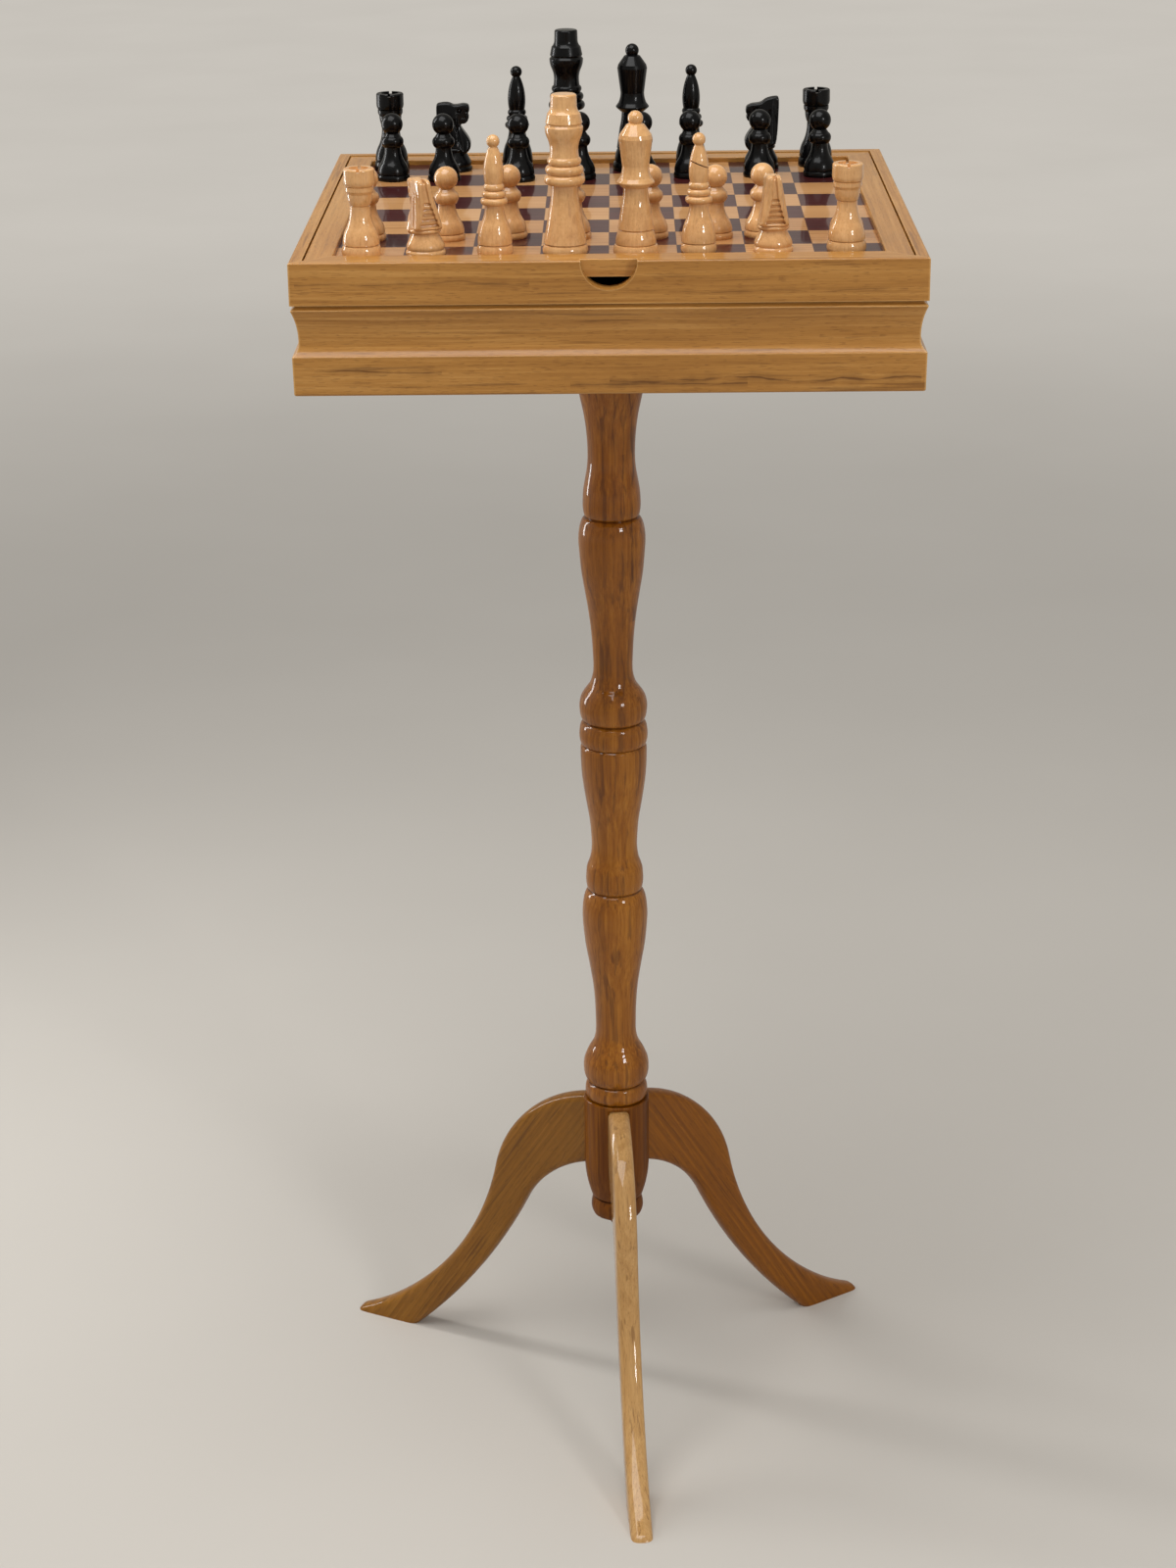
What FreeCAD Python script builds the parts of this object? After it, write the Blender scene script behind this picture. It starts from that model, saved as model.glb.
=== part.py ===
import FreeCAD, Part
import math
import os
import Sketcher

# Chess table: a shallow moulded box on a turned column with three legs. Its lid is the inlaid board,
# and the 32 men stand on it. Millimetres, +Z up, origin on the floor under the column's axis.
# +X is to the right and +Y to the back, seen from the side of the finger notch.

doc = FreeCAD.newDocument("chess_table")
sheet = doc.addObject("Spreadsheet::Sheet", "dims")
V = FreeCAD.Vector
NODES = []
NEAR = 0.001                        # places closer than this are the same
OVERCUT = 1.0                       # how far a cutter runs past what it cuts
CORNER = 1 - math.sqrt(0.5)         # middle of a quarter round, as a share of its radius from each side
used_rows = 0


# ---------------------------------------------------------------- sizes

class Size:
    """A number together with the spreadsheet expression that gives it."""

    def __init__(self, value, text):
        self.value = value
        self.text = text

    def __add__(self, other):
        other = size_of(other)
        return Size(self.value + other.value, f"({self.text} + {other.text})")

    def __sub__(self, other):
        other = size_of(other)
        return Size(self.value - other.value, f"({self.text} - {other.text})")

    def __mul__(self, factor):
        return Size(self.value * factor, f"({self.text} * {factor})")

    def __truediv__(self, divisor):
        return Size(self.value / divisor, f"({self.text} / {divisor})")

    def __neg__(self):
        return Size(-self.value, f"(0 - {self.text})")

    def __radd__(self, other):
        return size_of(other) + self


def size_of(number):
    return number if isinstance(number, Size) else Size(float(number), f"({number})")


def dim(alias, value):
    """One driving dimension: a named cell of the spreadsheet."""
    global used_rows
    used_rows += 1
    sheet.set(f"A{used_rows}", alias)
    sheet.set(f"B{used_rows}", str(value))
    sheet.setAlias(f"B{used_rows}", alias)
    sheet.recompute()
    return Size(value, f"dims.{alias}")


def bind(thing, prop, size):
    """Ties a property of an object to the dimensions."""
    thing.setExpression(prop, size_of(size).text)


def place(thing, across=0, back=0, up=0, angle=0):
    """Puts an object at its place, turned about the vertical."""
    thing.Placement = FreeCAD.Placement(V(0, 0, 0), FreeCAD.Rotation(V(0, 0, 1), 1))
    for axis, size in (("x", across), ("y", back), ("z", up)):
        bind(thing, f"Placement.Base.{axis}", size)
    bind(thing, "Placement.Rotation.Angle", angle)


def node(thing, name):
    """Names a finished sub-part: its label is the name of its file."""
    thing.Label = name
    NODES.append(thing)
    return thing


# ---------------------------------------------------------------- sketches

class Outline:
    """A closed sketch outline, drawn edge by edge, with every corner tied to the dimensions."""

    def __init__(self, sketch, across, along):
        self.sketch = sketch
        self.start = (size_of(across), size_of(along))
        self.here = self.start
        self.rules = []
        self.ties = []
        self.last_end = None
        self.first_end = None
        self.heading = None

    def gauge(self, kind, edge, end, size):
        size = size_of(size)
        self.ties.append((len(self.rules), size.text))
        self.rules.append(Sketcher.Constraint(kind, -1, 1, edge, end, size.value))

    def chain(self, edge, begin, end, across, along, smooth=False):
        """Joins a new edge to the one before it and fixes its far end."""
        if self.last_end is None:
            self.first_end = (edge, begin)
            self.gauge("DistanceX", edge, begin, self.start[0])
            self.gauge("DistanceY", edge, begin, self.start[1])
        else:
            kind = "Tangent" if smooth else "Coincident"
            self.rules.append(Sketcher.Constraint(kind, *self.last_end, edge, begin))
        self.last_end = (edge, end)
        self.here = (across, along)

    def fix_end(self):
        self.gauge("DistanceX", *self.last_end, self.here[0])
        self.gauge("DistanceY", *self.last_end, self.here[1])

    def line(self, across, along):
        across, along = size_of(across), size_of(along)
        begin = V(self.here[0].value, self.here[1].value, 0)
        edge = self.sketch.addGeometry(Part.LineSegment(begin, V(across.value, along.value, 0)), False)
        self.chain(edge, 1, 2, across, along)
        self.fix_end()

    def add_arc(self, centre, begin, end, leftward):
        """Adds an arc about a centre and returns it with the numbers of its two ends."""
        radius = (begin - centre).Length
        from_angle = math.atan2(begin.y - centre.y, begin.x - centre.x)
        to_angle = math.atan2(end.y - centre.y, end.x - centre.x)
        if not leftward:
            from_angle, to_angle = to_angle, from_angle
        if to_angle < from_angle:
            to_angle += 2 * math.pi
        circle = Part.Circle(centre, V(0, 0, 1), radius)
        edge = self.sketch.addGeometry(Part.ArcOfCircle(circle, from_angle, to_angle), False)
        return (edge, 1, 2) if leftward else (edge, 2, 1)

    def arc(self, via_across, via_along, across, along):
        """An arc through a middle point to an end point."""
        via_across, via_along = size_of(via_across), size_of(via_along)
        across, along = size_of(across), size_of(along)
        begin = V(self.here[0].value, self.here[1].value, 0)
        via = V(via_across.value, via_along.value, 0)
        end = V(across.value, along.value, 0)
        centre = Part.Arc(begin, via, end).toShape().Curve.Center
        leftward = (via - begin).cross(end - via).z > 0
        edge, first, second = self.add_arc(centre, begin, end, leftward)
        self.chain(edge, first, second, across, along)
        self.fix_end()
        guide = self.sketch.addGeometry(Part.Point(via), True)
        self.gauge("DistanceX", guide, 1, via_across)
        self.gauge("DistanceY", guide, 1, via_along)
        self.rules.append(Sketcher.Constraint("PointOnObject", guide, 1, edge))

    def level_arc(self, across, along, level_at_start, smooth=False, fixed=True):
        """An arc that runs straight up the piece at one end: its centre is level with that end."""
        across, along = size_of(across), size_of(along)
        begin = V(self.here[0].value, self.here[1].value, 0)
        end = V(across.value, along.value, 0)
        flat, other = (begin, end) if level_at_start else (end, begin)
        step = other - flat
        centre = flat + V((step.x ** 2 + step.y ** 2) / (2 * step.x), 0, 0)
        leftward = (begin - centre).cross(end - begin).z > 0
        edge, first, second = self.add_arc(centre, begin, end, leftward)
        level = self.here[1] if level_at_start else along
        self.chain(edge, first, second, across, along, smooth)
        self.gauge("DistanceY", edge, 3, level)
        if fixed:
            self.fix_end()

    def bend(self, radius, across, along, leftward):
        """The shorter arc of a radius to an end point, turning left or right."""
        radius, across, along = size_of(radius), size_of(across), size_of(along)
        begin = V(self.here[0].value, self.here[1].value, 0)
        end = V(across.value, along.value, 0)
        half = (end - begin) / 2
        rise = math.sqrt(radius.value ** 2 - half.Length ** 2)
        left = V(-half.y, half.x, 0).normalize()
        centre = begin + half + left * (rise if leftward else -rise)
        edge, first, second = self.add_arc(centre, begin, end, leftward)
        self.chain(edge, first, second, across, along)
        self.fix_end()
        self.ties.append((len(self.rules), radius.text))
        self.rules.append(Sketcher.Constraint("Radius", edge, radius.value))
        self.turn_heading(centre, end, leftward)

    def flow(self, across, along):
        """An arc to an end point that goes on smoothly from the edge before it."""
        across, along = size_of(across), size_of(along)
        begin = V(self.here[0].value, self.here[1].value, 0)
        end = V(across.value, along.value, 0)
        left = V(-self.heading.y, self.heading.x, 0)
        centre = begin + left * ((end - begin).Length ** 2 / (2 * left.dot(end - begin)))
        leftward = left.dot(end - begin) > 0
        edge, first, second = self.add_arc(centre, begin, end, leftward)
        self.chain(edge, first, second, across, along, smooth=True)
        self.fix_end()
        self.turn_heading(centre, end, leftward)

    def run_on(self, across):
        """A straight edge that goes on smoothly from the arc before it, as far as a place across."""
        across = size_of(across)
        begin = V(self.here[0].value, self.here[1].value, 0)
        end = begin + self.heading * ((across.value - begin.x) / self.heading.x)
        edge = self.sketch.addGeometry(Part.LineSegment(begin, end), False)
        self.chain(edge, 1, 2, across, size_of(end.y), smooth=True)
        self.gauge("DistanceX", *self.last_end, across)

    def turn_heading(self, centre, end, leftward):
        out = (end - centre).normalize()
        self.heading = V(-out.y, out.x, 0) if leftward else V(out.y, -out.x, 0)

    def ogee(self, turn_along, across, along):
        """Two arcs, each running straight up the piece at its outer end, that meet smoothly between."""
        across, along, turn_along = size_of(across), size_of(along), size_of(turn_along)
        share = (turn_along.value - self.here[1].value) / (along.value - self.here[1].value)
        turn_across = self.here[0].value + share * (across.value - self.here[0].value)
        self.level_arc(turn_across, turn_along, True, fixed=False)
        self.gauge("DistanceY", *self.last_end, turn_along)
        self.level_arc(across, along, False, smooth=True)

    def close(self):
        """Draws the last straight edge back to the start and ties everything."""
        begin = V(self.here[0].value, self.here[1].value, 0)
        end = V(self.start[0].value, self.start[1].value, 0)
        edge = self.sketch.addGeometry(Part.LineSegment(begin, end), False)
        self.rules.append(Sketcher.Constraint("Coincident", *self.last_end, edge, 1))
        self.rules.append(Sketcher.Constraint("Coincident", edge, 2, *self.first_end))
        first = self.sketch.ConstraintCount
        self.sketch.addConstraint(self.rules)
        for number, text in self.ties:
            self.sketch.setExpression(f"Constraints[{first + number}]", text)


def new_body(name):
    return doc.addObject("PartDesign::Body", name)


def sketch_on(body, name, role, lift=None):
    """A sketch on one of the body's own origin planes, raised along the plane's normal if wanted."""
    sketch = body.newObject("Sketcher::SketchObject", name)
    plane = [item for item in body.Origin.OriginFeatures if item.Role == role][0]
    sketch.AttachmentSupport = [(plane, "")]
    sketch.MapMode = "FlatFace"
    if lift is not None:
        bind(sketch, "AttachmentOffset.Base.z", lift)
    return sketch


def circle(sketch, across, along, radius):
    """A circle with its centre and radius tied to the dimensions."""
    across, along, radius = size_of(across), size_of(along), size_of(radius)
    ring = Part.Circle(V(across.value, along.value, 0), V(0, 0, 1), radius.value)
    edge = sketch.addGeometry(ring, False)
    rules = [Sketcher.Constraint("DistanceX", -1, 1, edge, 3, across.value),
             Sketcher.Constraint("DistanceY", -1, 1, edge, 3, along.value),
             Sketcher.Constraint("Radius", edge, radius.value)]
    first = sketch.ConstraintCount
    sketch.addConstraint(rules)
    for number, size in enumerate((across, along, radius)):
        sketch.setExpression(f"Constraints[{first + number}]", size.text)


def rectangle(sketch, low_across, low_along, high_across, high_along):
    outline = Outline(sketch, low_across, low_along)
    outline.line(high_across, low_along)
    outline.line(high_across, high_along)
    outline.line(low_across, high_along)
    outline.close()


def pad(body, sketch, length, both_ways=False):
    feature = body.newObject("PartDesign::Pad", sketch.Name + "_pad")
    feature.Profile = sketch
    bind(feature, "Length", length)
    feature.Midplane = both_ways
    return feature


def pocket(body, sketch, length=None, both_ways=False, reverse=False):
    """Cuts a sketch into the body: to a length, or right through."""
    feature = body.newObject("PartDesign::Pocket", sketch.Name + "_cut")
    feature.Profile = sketch
    if length is None:
        feature.Type = "ThroughAll"
    else:
        bind(feature, "Length", length)
    feature.Midplane = both_ways
    feature.Reversed = reverse
    return feature


def revolve(body, sketch):
    feature = body.newObject("PartDesign::Revolution", sketch.Name + "_turned")
    feature.Profile = sketch
    feature.ReferenceAxis = (sketch, ["V_Axis"])
    feature.Angle = 360
    return feature


def around(body, features, count):
    """Repeats features round the body's vertical axis."""
    pattern = body.newObject("PartDesign::PolarPattern", body.Name + "_round")
    pattern.Originals = features
    axis = [item for item in body.Origin.OriginFeatures if item.Role == "Z_Axis"][0]
    pattern.Axis = (axis, [""])
    pattern.Angle = 360
    pattern.Occurrences = count
    body.Tip = pattern
    return pattern


def side_edges(shape, thickness, wanted):
    """Names of the edges round the two flat sides of a board that lies across Y, where wanted."""
    names = []
    for number, edge in enumerate(shape.Edges):
        box = edge.BoundBox
        on_side = box.YLength < NEAR and abs(abs(box.YMin) - thickness.value / 2) < NEAR
        if on_side and wanted(box):
            names.append(f"Edge{number + 1}")
    return names


# ---------------------------------------------------------------- turned pieces

def turning(piece, rows):
    """The sizes of a turned outline, from the foot up.

    A row is a stretch: its kind, the name of where it ends, its length or lengths, and the radius there.
    line: straight. step: flat outwards or inwards. swell: an arc that ends running straight up.
    ease: an arc that starts running straight up. ogee: an ease and a swell that meet smoothly.
    dome: an ease that ends on the axis.
    """
    stretches = []
    for kind, name, *numbers in rows:
        sizes = []
        radius = None
        if kind != "dome":
            radius = dim(f"{piece}_{name}_radius", numbers.pop())
        for count, number in enumerate(numbers):
            ending = "length" if count == 0 else "second_length"
            sizes.append(dim(f"{piece}_{name}_{ending}", number))
        stretches.append((kind, sizes, radius))
    return stretches


def turned_height(stretches):
    height = size_of(0)
    for kind, lengths, radius in stretches:
        for length in lengths:
            height = height + length
    return height


def turn_body(body, stretches, foot_radius, foot_bore=None, top_bore=None):
    """Turns a body from its stretches; a bore is a radius and a depth on the axis."""
    sketch = sketch_on(body, body.Name + "_outline", "XZ_Plane")
    up = size_of(0)
    if foot_bore is None:
        outline = Outline(sketch, 0, 0)
    else:
        outline = Outline(sketch, 0, foot_bore[1])
        outline.line(foot_bore[0], foot_bore[1])
        outline.line(foot_bore[0], 0)
    outline.line(foot_radius, 0)
    for kind, lengths, radius in stretches:
        if kind == "step":
            outline.line(radius, up)
        elif kind == "line":
            up = up + lengths[0]
            outline.line(radius, up)
        elif kind == "ogee":
            middle = up + lengths[0]
            up = middle + lengths[1]
            outline.ogee(middle, radius, up)
        else:
            up = up + lengths[0]
            outline.level_arc(0 if radius is None else radius, up, kind != "swell")
    if top_bore is not None:
        outline.line(top_bore[0], up)
        outline.line(top_bore[0], up - top_bore[1])
        outline.line(0, up - top_bore[1])
    elif stretches[-1][2] is not None:
        outline.line(0, up)
    outline.close()
    return revolve(body, sketch)


# ---------------------------------------------------------------- driving dimensions

fit_gap = dim("fit_gap", 0.1)

BOARD_SIDE = 8                      # squares along each side of the board
square = dim("square_side", 35.0)
rail_width = dim("lid_rail_width", 14.0)
rail_thickness = dim("lid_rail_thickness", 9.0)
rail_lap = dim("lid_rail_lap_over_core", 4.0)
rail_ease = dim("lid_rail_edge_ease", 0.8)
lid_gap = dim("lid_gap", 0.5)
lid_drop = dim("lid_drop_below_walls", 0.5)
board_recess = dim("board_recess", 3.0)
veneer = dim("veneer_thickness", 0.8)

wall_skin = dim("wall_skin_beside_lid", 6.5)
wall_ledge = dim("wall_ledge_under_lid", 5.5)
wall_ease = dim("wall_edge_ease", 1.0)
wall_band = dim("wall_top_band_height", 21.8)
groove_depth = dim("wall_groove_depth", 2.5)
groove_top = dim("wall_groove_top_slope", 0.7)
groove_foot = dim("wall_groove_foot_slope", 2.0)
lip_inset = dim("wall_lip_inset", 0.3)
cove_height = dim("wall_cove_height", 15.5)
cove_depth = dim("wall_cove_depth", 3.3)
cove_flat = dim("wall_cove_flat_height", 2.0)
flare_height = dim("wall_flare_height", 6.3)
plinth_height = dim("wall_plinth_height", 20.2)
plinth_inset = dim("wall_plinth_foot_inset", 0.3)
plinth_ease = dim("wall_plinth_ease", 1.5)
notch_width = dim("finger_notch_width", 28.5)
notch_depth = dim("finger_notch_depth", 15.0)
bottom_thickness = dim("box_bottom_thickness", 6.0)
bottom_lap = dim("box_bottom_lap_under_walls", 5.5)

disc_radius = dim("disc_radius", 45.0)
disc_thickness = dim("disc_thickness", 12.0)
disc_ease = dim("disc_edge_ease", 2.0)
screw_circle = dim("screw_circle_radius", 34.0)
screw_radius = dim("screw_shank_radius", 1.75)
screw_head_radius = dim("screw_head_radius", 3.5)
screw_length = dim("screw_length", 16.0)
screw_sink = dim("screw_head_sink", 0.3)
screw_slot_width = dim("screw_slot_width", 0.9)
screw_slot_depth = dim("screw_slot_depth", 0.8)
screw_point = dim("screw_point_length", 2.0)
stud_radius = dim("stud_radius", 4.0)
stud_in_wood = dim("stud_depth_in_wood", 20.0)
stud_reach = dim("stud_reach_out", 10.0)
stud_chamfer = dim("stud_chamfer", 0.8)
insert_radius = dim("insert_radius", 6.0)
insert_length = dim("insert_length", 11.0)

leg_thickness = dim("leg_thickness", 13.0)
leg_round = dim("leg_edge_round", 2.4)
leg_turn = dim("leg_front_angle", -85.85)
leg_seat = dim("leg_seat_radius", 18.0)
leg_foot_of_seat = dim("leg_seat_foot_height", 146.0)
leg_seat_height = dim("leg_seat_length", 46.5)
hub_rim = dim("hub_rim_above_legs", 2.0)
hub_slot_relief = dim("hub_slot_relief_under_leg", 0.7)
dowel_radius = dim("dowel_radius", 3.0)
dowel_inner = dim("dowel_inner_radius", 9.5)
dowel_length = dim("dowel_length", 21.0)
dowel_spacing = dim("dowel_spacing", 22.0)
dowel_low = (leg_seat_height - dowel_spacing) / 2
dowel_high = dowel_low + dowel_spacing

# Turned lengths of the column, each from its own lower end.
LOWER_COLUMN = turning("lower", [
    ("swell", "ring", 5.0, 18.1),
    ("ease", "ring_top", 6.0, 17.4),
    ("line", "ring_groove", 0.6, 16.2),
    ("line", "bulb_foot", 0.6, 18.0),
    ("swell", "bulb", 9.8, 19.7),
    ("ogee", "slim_neck", 11.0, 11.0, 12.15),
    ("line", "slim_neck_top", 8.0, 12.15),
    ("ogee", "vase", 39.0, 34.5, 19.4),
    ("ease", "vase_rim", 11.5, 18.5),
    ("line", "vase_groove", 0.7, 15.6),
    ("line", "collar_foot", 0.8, 16.2),
    ("swell", "collar", 8.5, 16.9),
    ("ogee", "waist", 8.0, 9.0, 13.45),
    ("ogee", "flare", 28.0, 33.0, 19.4),
    ("line", "flare_rim", 3.0, 19.4),
    ("ease", "flare_edge", 1.0, 18.9),
])
UPPER_COLUMN = turning("upper", [
    ("swell", "bead", 7.4, 19.5),
    ("ease", "bead_top", 7.2, 18.2),
    ("line", "bead_groove", 0.5, 16.8),
    ("line", "bulb_foot", 0.5, 18.5),
    ("swell", "bulb", 9.4, 19.7),
    ("ogee", "slim_neck", 9.0, 11.0, 11.4),
    ("ogee", "vase", 48.0, 36.5, 19.2),
    ("ease", "vase_rim", 8.0, 18.0),
    ("line", "vase_groove", 0.6, 14.7),
    ("line", "collar_foot", 0.9, 15.5),
    ("swell", "collar", 8.5, 16.4),
    ("ogee", "waist", 12.5, 14.0, 13.45),
    ("ogee", "flare", 35.0, 17.0, 20.0),
    ("line", "flare_rim", 10.0, 20.0),
])
HUB = turning("hub", [
    ("line", "tip", 7.0, 5.8),
    ("line", "tip_flare", 3.5, 9.75),
    ("line", "bead_under", 1.8, 14.6),
    ("swell", "bead", 5.0, 15.9),
    ("ease", "bead_top", 6.4, 14.6),
    ("line", "bead_groove", 0.7, 13.4),
    ("line", "belly_foot", 0.9, 15.6),
    ("swell", "belly", 24.7, 19.7),
    ("line", "belly_top", 40.5, 19.7),
    ("ease", "rim", 1.0, 19.2),
])
lower_foot_radius = dim("lower_foot_radius", 17.6)
upper_foot_radius = dim("upper_foot_radius", 18.0)
hub_tip_radius = dim("hub_tip_blunt_radius", 0.8)

# The stack, from the floor up.
hub_top = leg_foot_of_seat + leg_seat_height + hub_rim
hub_base = hub_top - turned_height(HUB)
lower_base = hub_top
upper_base = lower_base + turned_height(LOWER_COLUMN)
disc_base = upper_base + turned_height(UPPER_COLUMN)
box_base = disc_base + disc_thickness
wall_height = (wall_band + groove_top + groove_foot + cove_height + cove_flat + flare_height
               + plinth_height)
wall_top = box_base + wall_height
lid_top = wall_top - lid_drop
lid_base = lid_top - rail_thickness
board_top = lid_top - board_recess

# Half sides, from the middle outwards.
field_half = square * (BOARD_SIDE / 2)
lid_half = field_half + rail_width
box_half = lid_half + lid_gap + wall_skin


# ---------------------------------------------------------------- box

def mitred_side(name, half_side, angle, draw_section, notched=False):
    """A moulded bar along X at the front of a frame, mitred at both ends, then turned to its side."""
    body = new_body(name)
    section = sketch_on(body, name + "_section", "YZ_Plane")
    depth = draw_section(section)
    pad(body, section, half_side * 2, both_ways=True)
    mitres = sketch_on(body, name + "_mitres", "XY_Plane")
    reach = depth + OVERCUT
    for side in (1, -1):
        outline = Outline(mitres, half_side * side, -half_side)
        outline.line((half_side + OVERCUT) * side, -half_side)
        outline.line((half_side + OVERCUT) * side, -half_side + reach)
        outline.line((half_side - reach) * side, -half_side + reach)
        outline.close()
    pocket(body, mitres, both_ways=True)
    if notched:
        cut = sketch_on(body, name + "_notch", "XZ_Plane")
        half = notch_width / 2
        outline = Outline(cut, -half, wall_top + OVERCUT)
        outline.line(-half, wall_top - notch_depth + half)
        outline.arc(0, wall_top - notch_depth, half, wall_top - notch_depth + half)
        outline.line(half, wall_top + OVERCUT)
        outline.close()
        pocket(body, cut, reverse=True)
    place(body, angle=angle)
    node(body, name)


def draw_wall(sketch):
    """Section of a box side: band, groove, cove, flare and plinth outside, two rebates inside."""
    face = -box_half
    band_foot = wall_top - wall_band
    lip = band_foot - groove_top - groove_foot
    cove_foot = lip - cove_height
    flare_top = cove_foot - cove_flat
    flare_foot = flare_top - flare_height
    inside = face + wall_skin + wall_ledge
    hollow = face + lip_inset + cove_depth
    plinth_foot = face + lip_inset + plinth_inset
    outline = Outline(sketch, face + wall_ease, wall_top)
    outline.arc(face + wall_ease * CORNER, wall_top - wall_ease * CORNER, face, wall_top - wall_ease)
    outline.line(face, band_foot)
    outline.line(face + groove_depth, band_foot - groove_top)
    outline.line(face + lip_inset, lip)
    outline.level_arc(hollow, cove_foot, False)
    outline.line(hollow, flare_top)
    outline.level_arc(face + lip_inset, flare_foot, True)
    outline.line(plinth_foot, box_base + plinth_ease)
    outline.arc(plinth_foot + plinth_ease * CORNER, box_base + plinth_ease * CORNER,
                plinth_foot + plinth_ease, box_base)
    outline.line(inside - bottom_lap, box_base)
    outline.line(inside - bottom_lap, box_base + bottom_thickness)
    outline.line(inside, box_base + bottom_thickness)
    outline.line(inside, lid_base)
    outline.line(face + wall_skin, lid_base)
    outline.line(face + wall_skin, wall_top)
    outline.close()
    return wall_skin + wall_ledge


def draw_rail(sketch):
    """Section of a lid rail: eased top edges, and a rebate below that laps over the core."""
    outer = -lid_half
    inner = -field_half
    core_top = board_top - veneer
    outline = Outline(sketch, outer, lid_base)
    outline.line(outer, lid_top - rail_ease)
    outline.arc(outer + rail_ease * CORNER, lid_top - rail_ease * CORNER, outer + rail_ease, lid_top)
    outline.line(inner - rail_ease, lid_top)
    outline.arc(inner - rail_ease * CORNER, lid_top - rail_ease * CORNER, inner, lid_top - rail_ease)
    outline.line(inner, core_top)
    outline.line(inner - rail_lap, core_top)
    outline.line(inner - rail_lap, lid_base)
    outline.close()
    return rail_width


# The sides of a frame, each a quarter turn on from the one before.
SIDES = ("front", "right", "back", "left")


def make_walls():
    for number, side in enumerate(SIDES):
        mitred_side(f"wall_{side}", box_half, 360 / len(SIDES) * number, draw_wall,
                    notched=side == "front")


def plain_block(name, half_side, low, thickness):
    """A square panel centred on the column's axis."""
    block = doc.addObject("Part::Box", name)
    for prop, size in (("Length", half_side * 2), ("Width", half_side * 2), ("Height", thickness)):
        bind(block, prop, size)
    place(block, -half_side, -half_side, low)
    return block


def make_box_bottom():
    """The bottom panel, let into the walls, with blind pilot holes for the disc's screws."""
    half = box_half - wall_skin - wall_ledge + bottom_lap
    panel = plain_block("bottom_panel", half, box_base, bottom_thickness)
    pilots = []
    for number, (side, depth) in enumerate(screw_places()):
        pilot = doc.addObject("Part::Cylinder", f"pilot_{number + 1}")
        bind(pilot, "Radius", screw_radius)
        bind(pilot, "Height", screw_length + screw_sink - disc_thickness + fit_gap * 2)
        place(pilot, side, depth, box_base)
        pilots.append(pilot)
    holes = doc.addObject("Part::Compound", "pilot_holes")
    holes.Links = pilots
    bottom = doc.addObject("Part::Cut", "box_bottom")
    bottom.Base = panel
    bottom.Tool = holes
    node(bottom, "box_bottom")


# ---------------------------------------------------------------- disc, screws and studs

def screw_places():
    """Middles of the four screws: on the two axes, one screw circle out."""
    return [(screw_circle, size_of(0)), (size_of(0), screw_circle),
            (-screw_circle, size_of(0)), (size_of(0), -screw_circle)]


def make_disc():
    """The turned disc: a through bore for the insert and four countersunk screw holes."""
    body = new_body("mounting_disc")
    sketch = sketch_on(body, "disc_outline", "XZ_Plane")
    bore = insert_radius + fit_gap
    outline = Outline(sketch, bore, 0)
    outline.line(disc_radius - disc_ease, 0)
    outline.arc(disc_radius - disc_ease * CORNER, disc_ease * CORNER, disc_radius, disc_ease)
    outline.line(disc_radius, disc_thickness)
    outline.line(bore, disc_thickness)
    outline.close()
    revolve(body, sketch)
    shank = sketch_on(body, "disc_screw_hole", "XY_Plane")
    circle(shank, screw_circle, 0, screw_radius + fit_gap)
    hole = pocket(body, shank, reverse=True)
    doc.recompute()
    countersink = body.newObject("PartDesign::Groove", "disc_countersink")
    cone = sketch_on(body, "disc_cone", "XZ_Plane")
    bind(cone, "AttachmentOffset.Base.x", screw_circle)
    mouth = screw_head_radius + screw_sink + fit_gap
    outline = Outline(cone, 0, 0)
    outline.line(mouth, 0)
    outline.line(0, mouth)
    outline.close()
    countersink.Profile = cone
    countersink.ReferenceAxis = (cone, ["V_Axis"])
    countersink.Angle = 360
    around(body, [hole, countersink], len(screw_places()))
    place(body, up=disc_base)
    node(body, "mounting_disc")


def make_screws():
    """Four countersunk wood screws with a straight slot in the head."""
    cone = screw_head_radius - screw_radius
    screws = []
    for number, (side, depth) in enumerate(screw_places()):
        body = new_body(f"screw_{number + 1}")
        sketch = sketch_on(body, body.Name + "_outline", "XZ_Plane")
        outline = Outline(sketch, 0, 0)
        outline.line(screw_head_radius, 0)
        outline.line(screw_radius, cone)
        outline.line(screw_radius, screw_length - screw_point)
        outline.line(0, screw_length)
        outline.close()
        revolve(body, sketch)
        slot = sketch_on(body, body.Name + "_slot", "XY_Plane")
        half = screw_slot_width / 2
        rectangle(slot, -screw_head_radius, -half, screw_head_radius, half)
        pocket(body, slot, screw_slot_depth, reverse=True)
        place(body, side, depth, disc_base + screw_sink)
        screws.append(body)
    group = doc.addObject("Part::Compound", "disc_screws")
    group.Links = screws
    node(group, "disc_screws")


def make_insert(name, low):
    """A threaded sleeve, shown as a plain ring."""
    body = new_body(name)
    sketch = sketch_on(body, name + "_outline", "XZ_Plane")
    rectangle(sketch, stud_radius + fit_gap, 0, insert_radius, insert_length)
    revolve(body, sketch)
    place(body, up=low)
    node(body, name)


def make_stud(name, low):
    """A threaded stud, shown with its chamfered ends."""
    body = new_body(name)
    sketch = sketch_on(body, name + "_outline", "XZ_Plane")
    length = stud_in_wood + stud_reach
    inner = stud_radius - stud_chamfer
    outline = Outline(sketch, 0, 0)
    outline.line(inner, 0)
    outline.line(stud_radius, stud_chamfer)
    outline.line(stud_radius, length - stud_chamfer)
    outline.line(inner, length)
    outline.line(0, length)
    outline.close()
    revolve(body, sketch)
    place(body, up=low)
    node(body, name)


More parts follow.
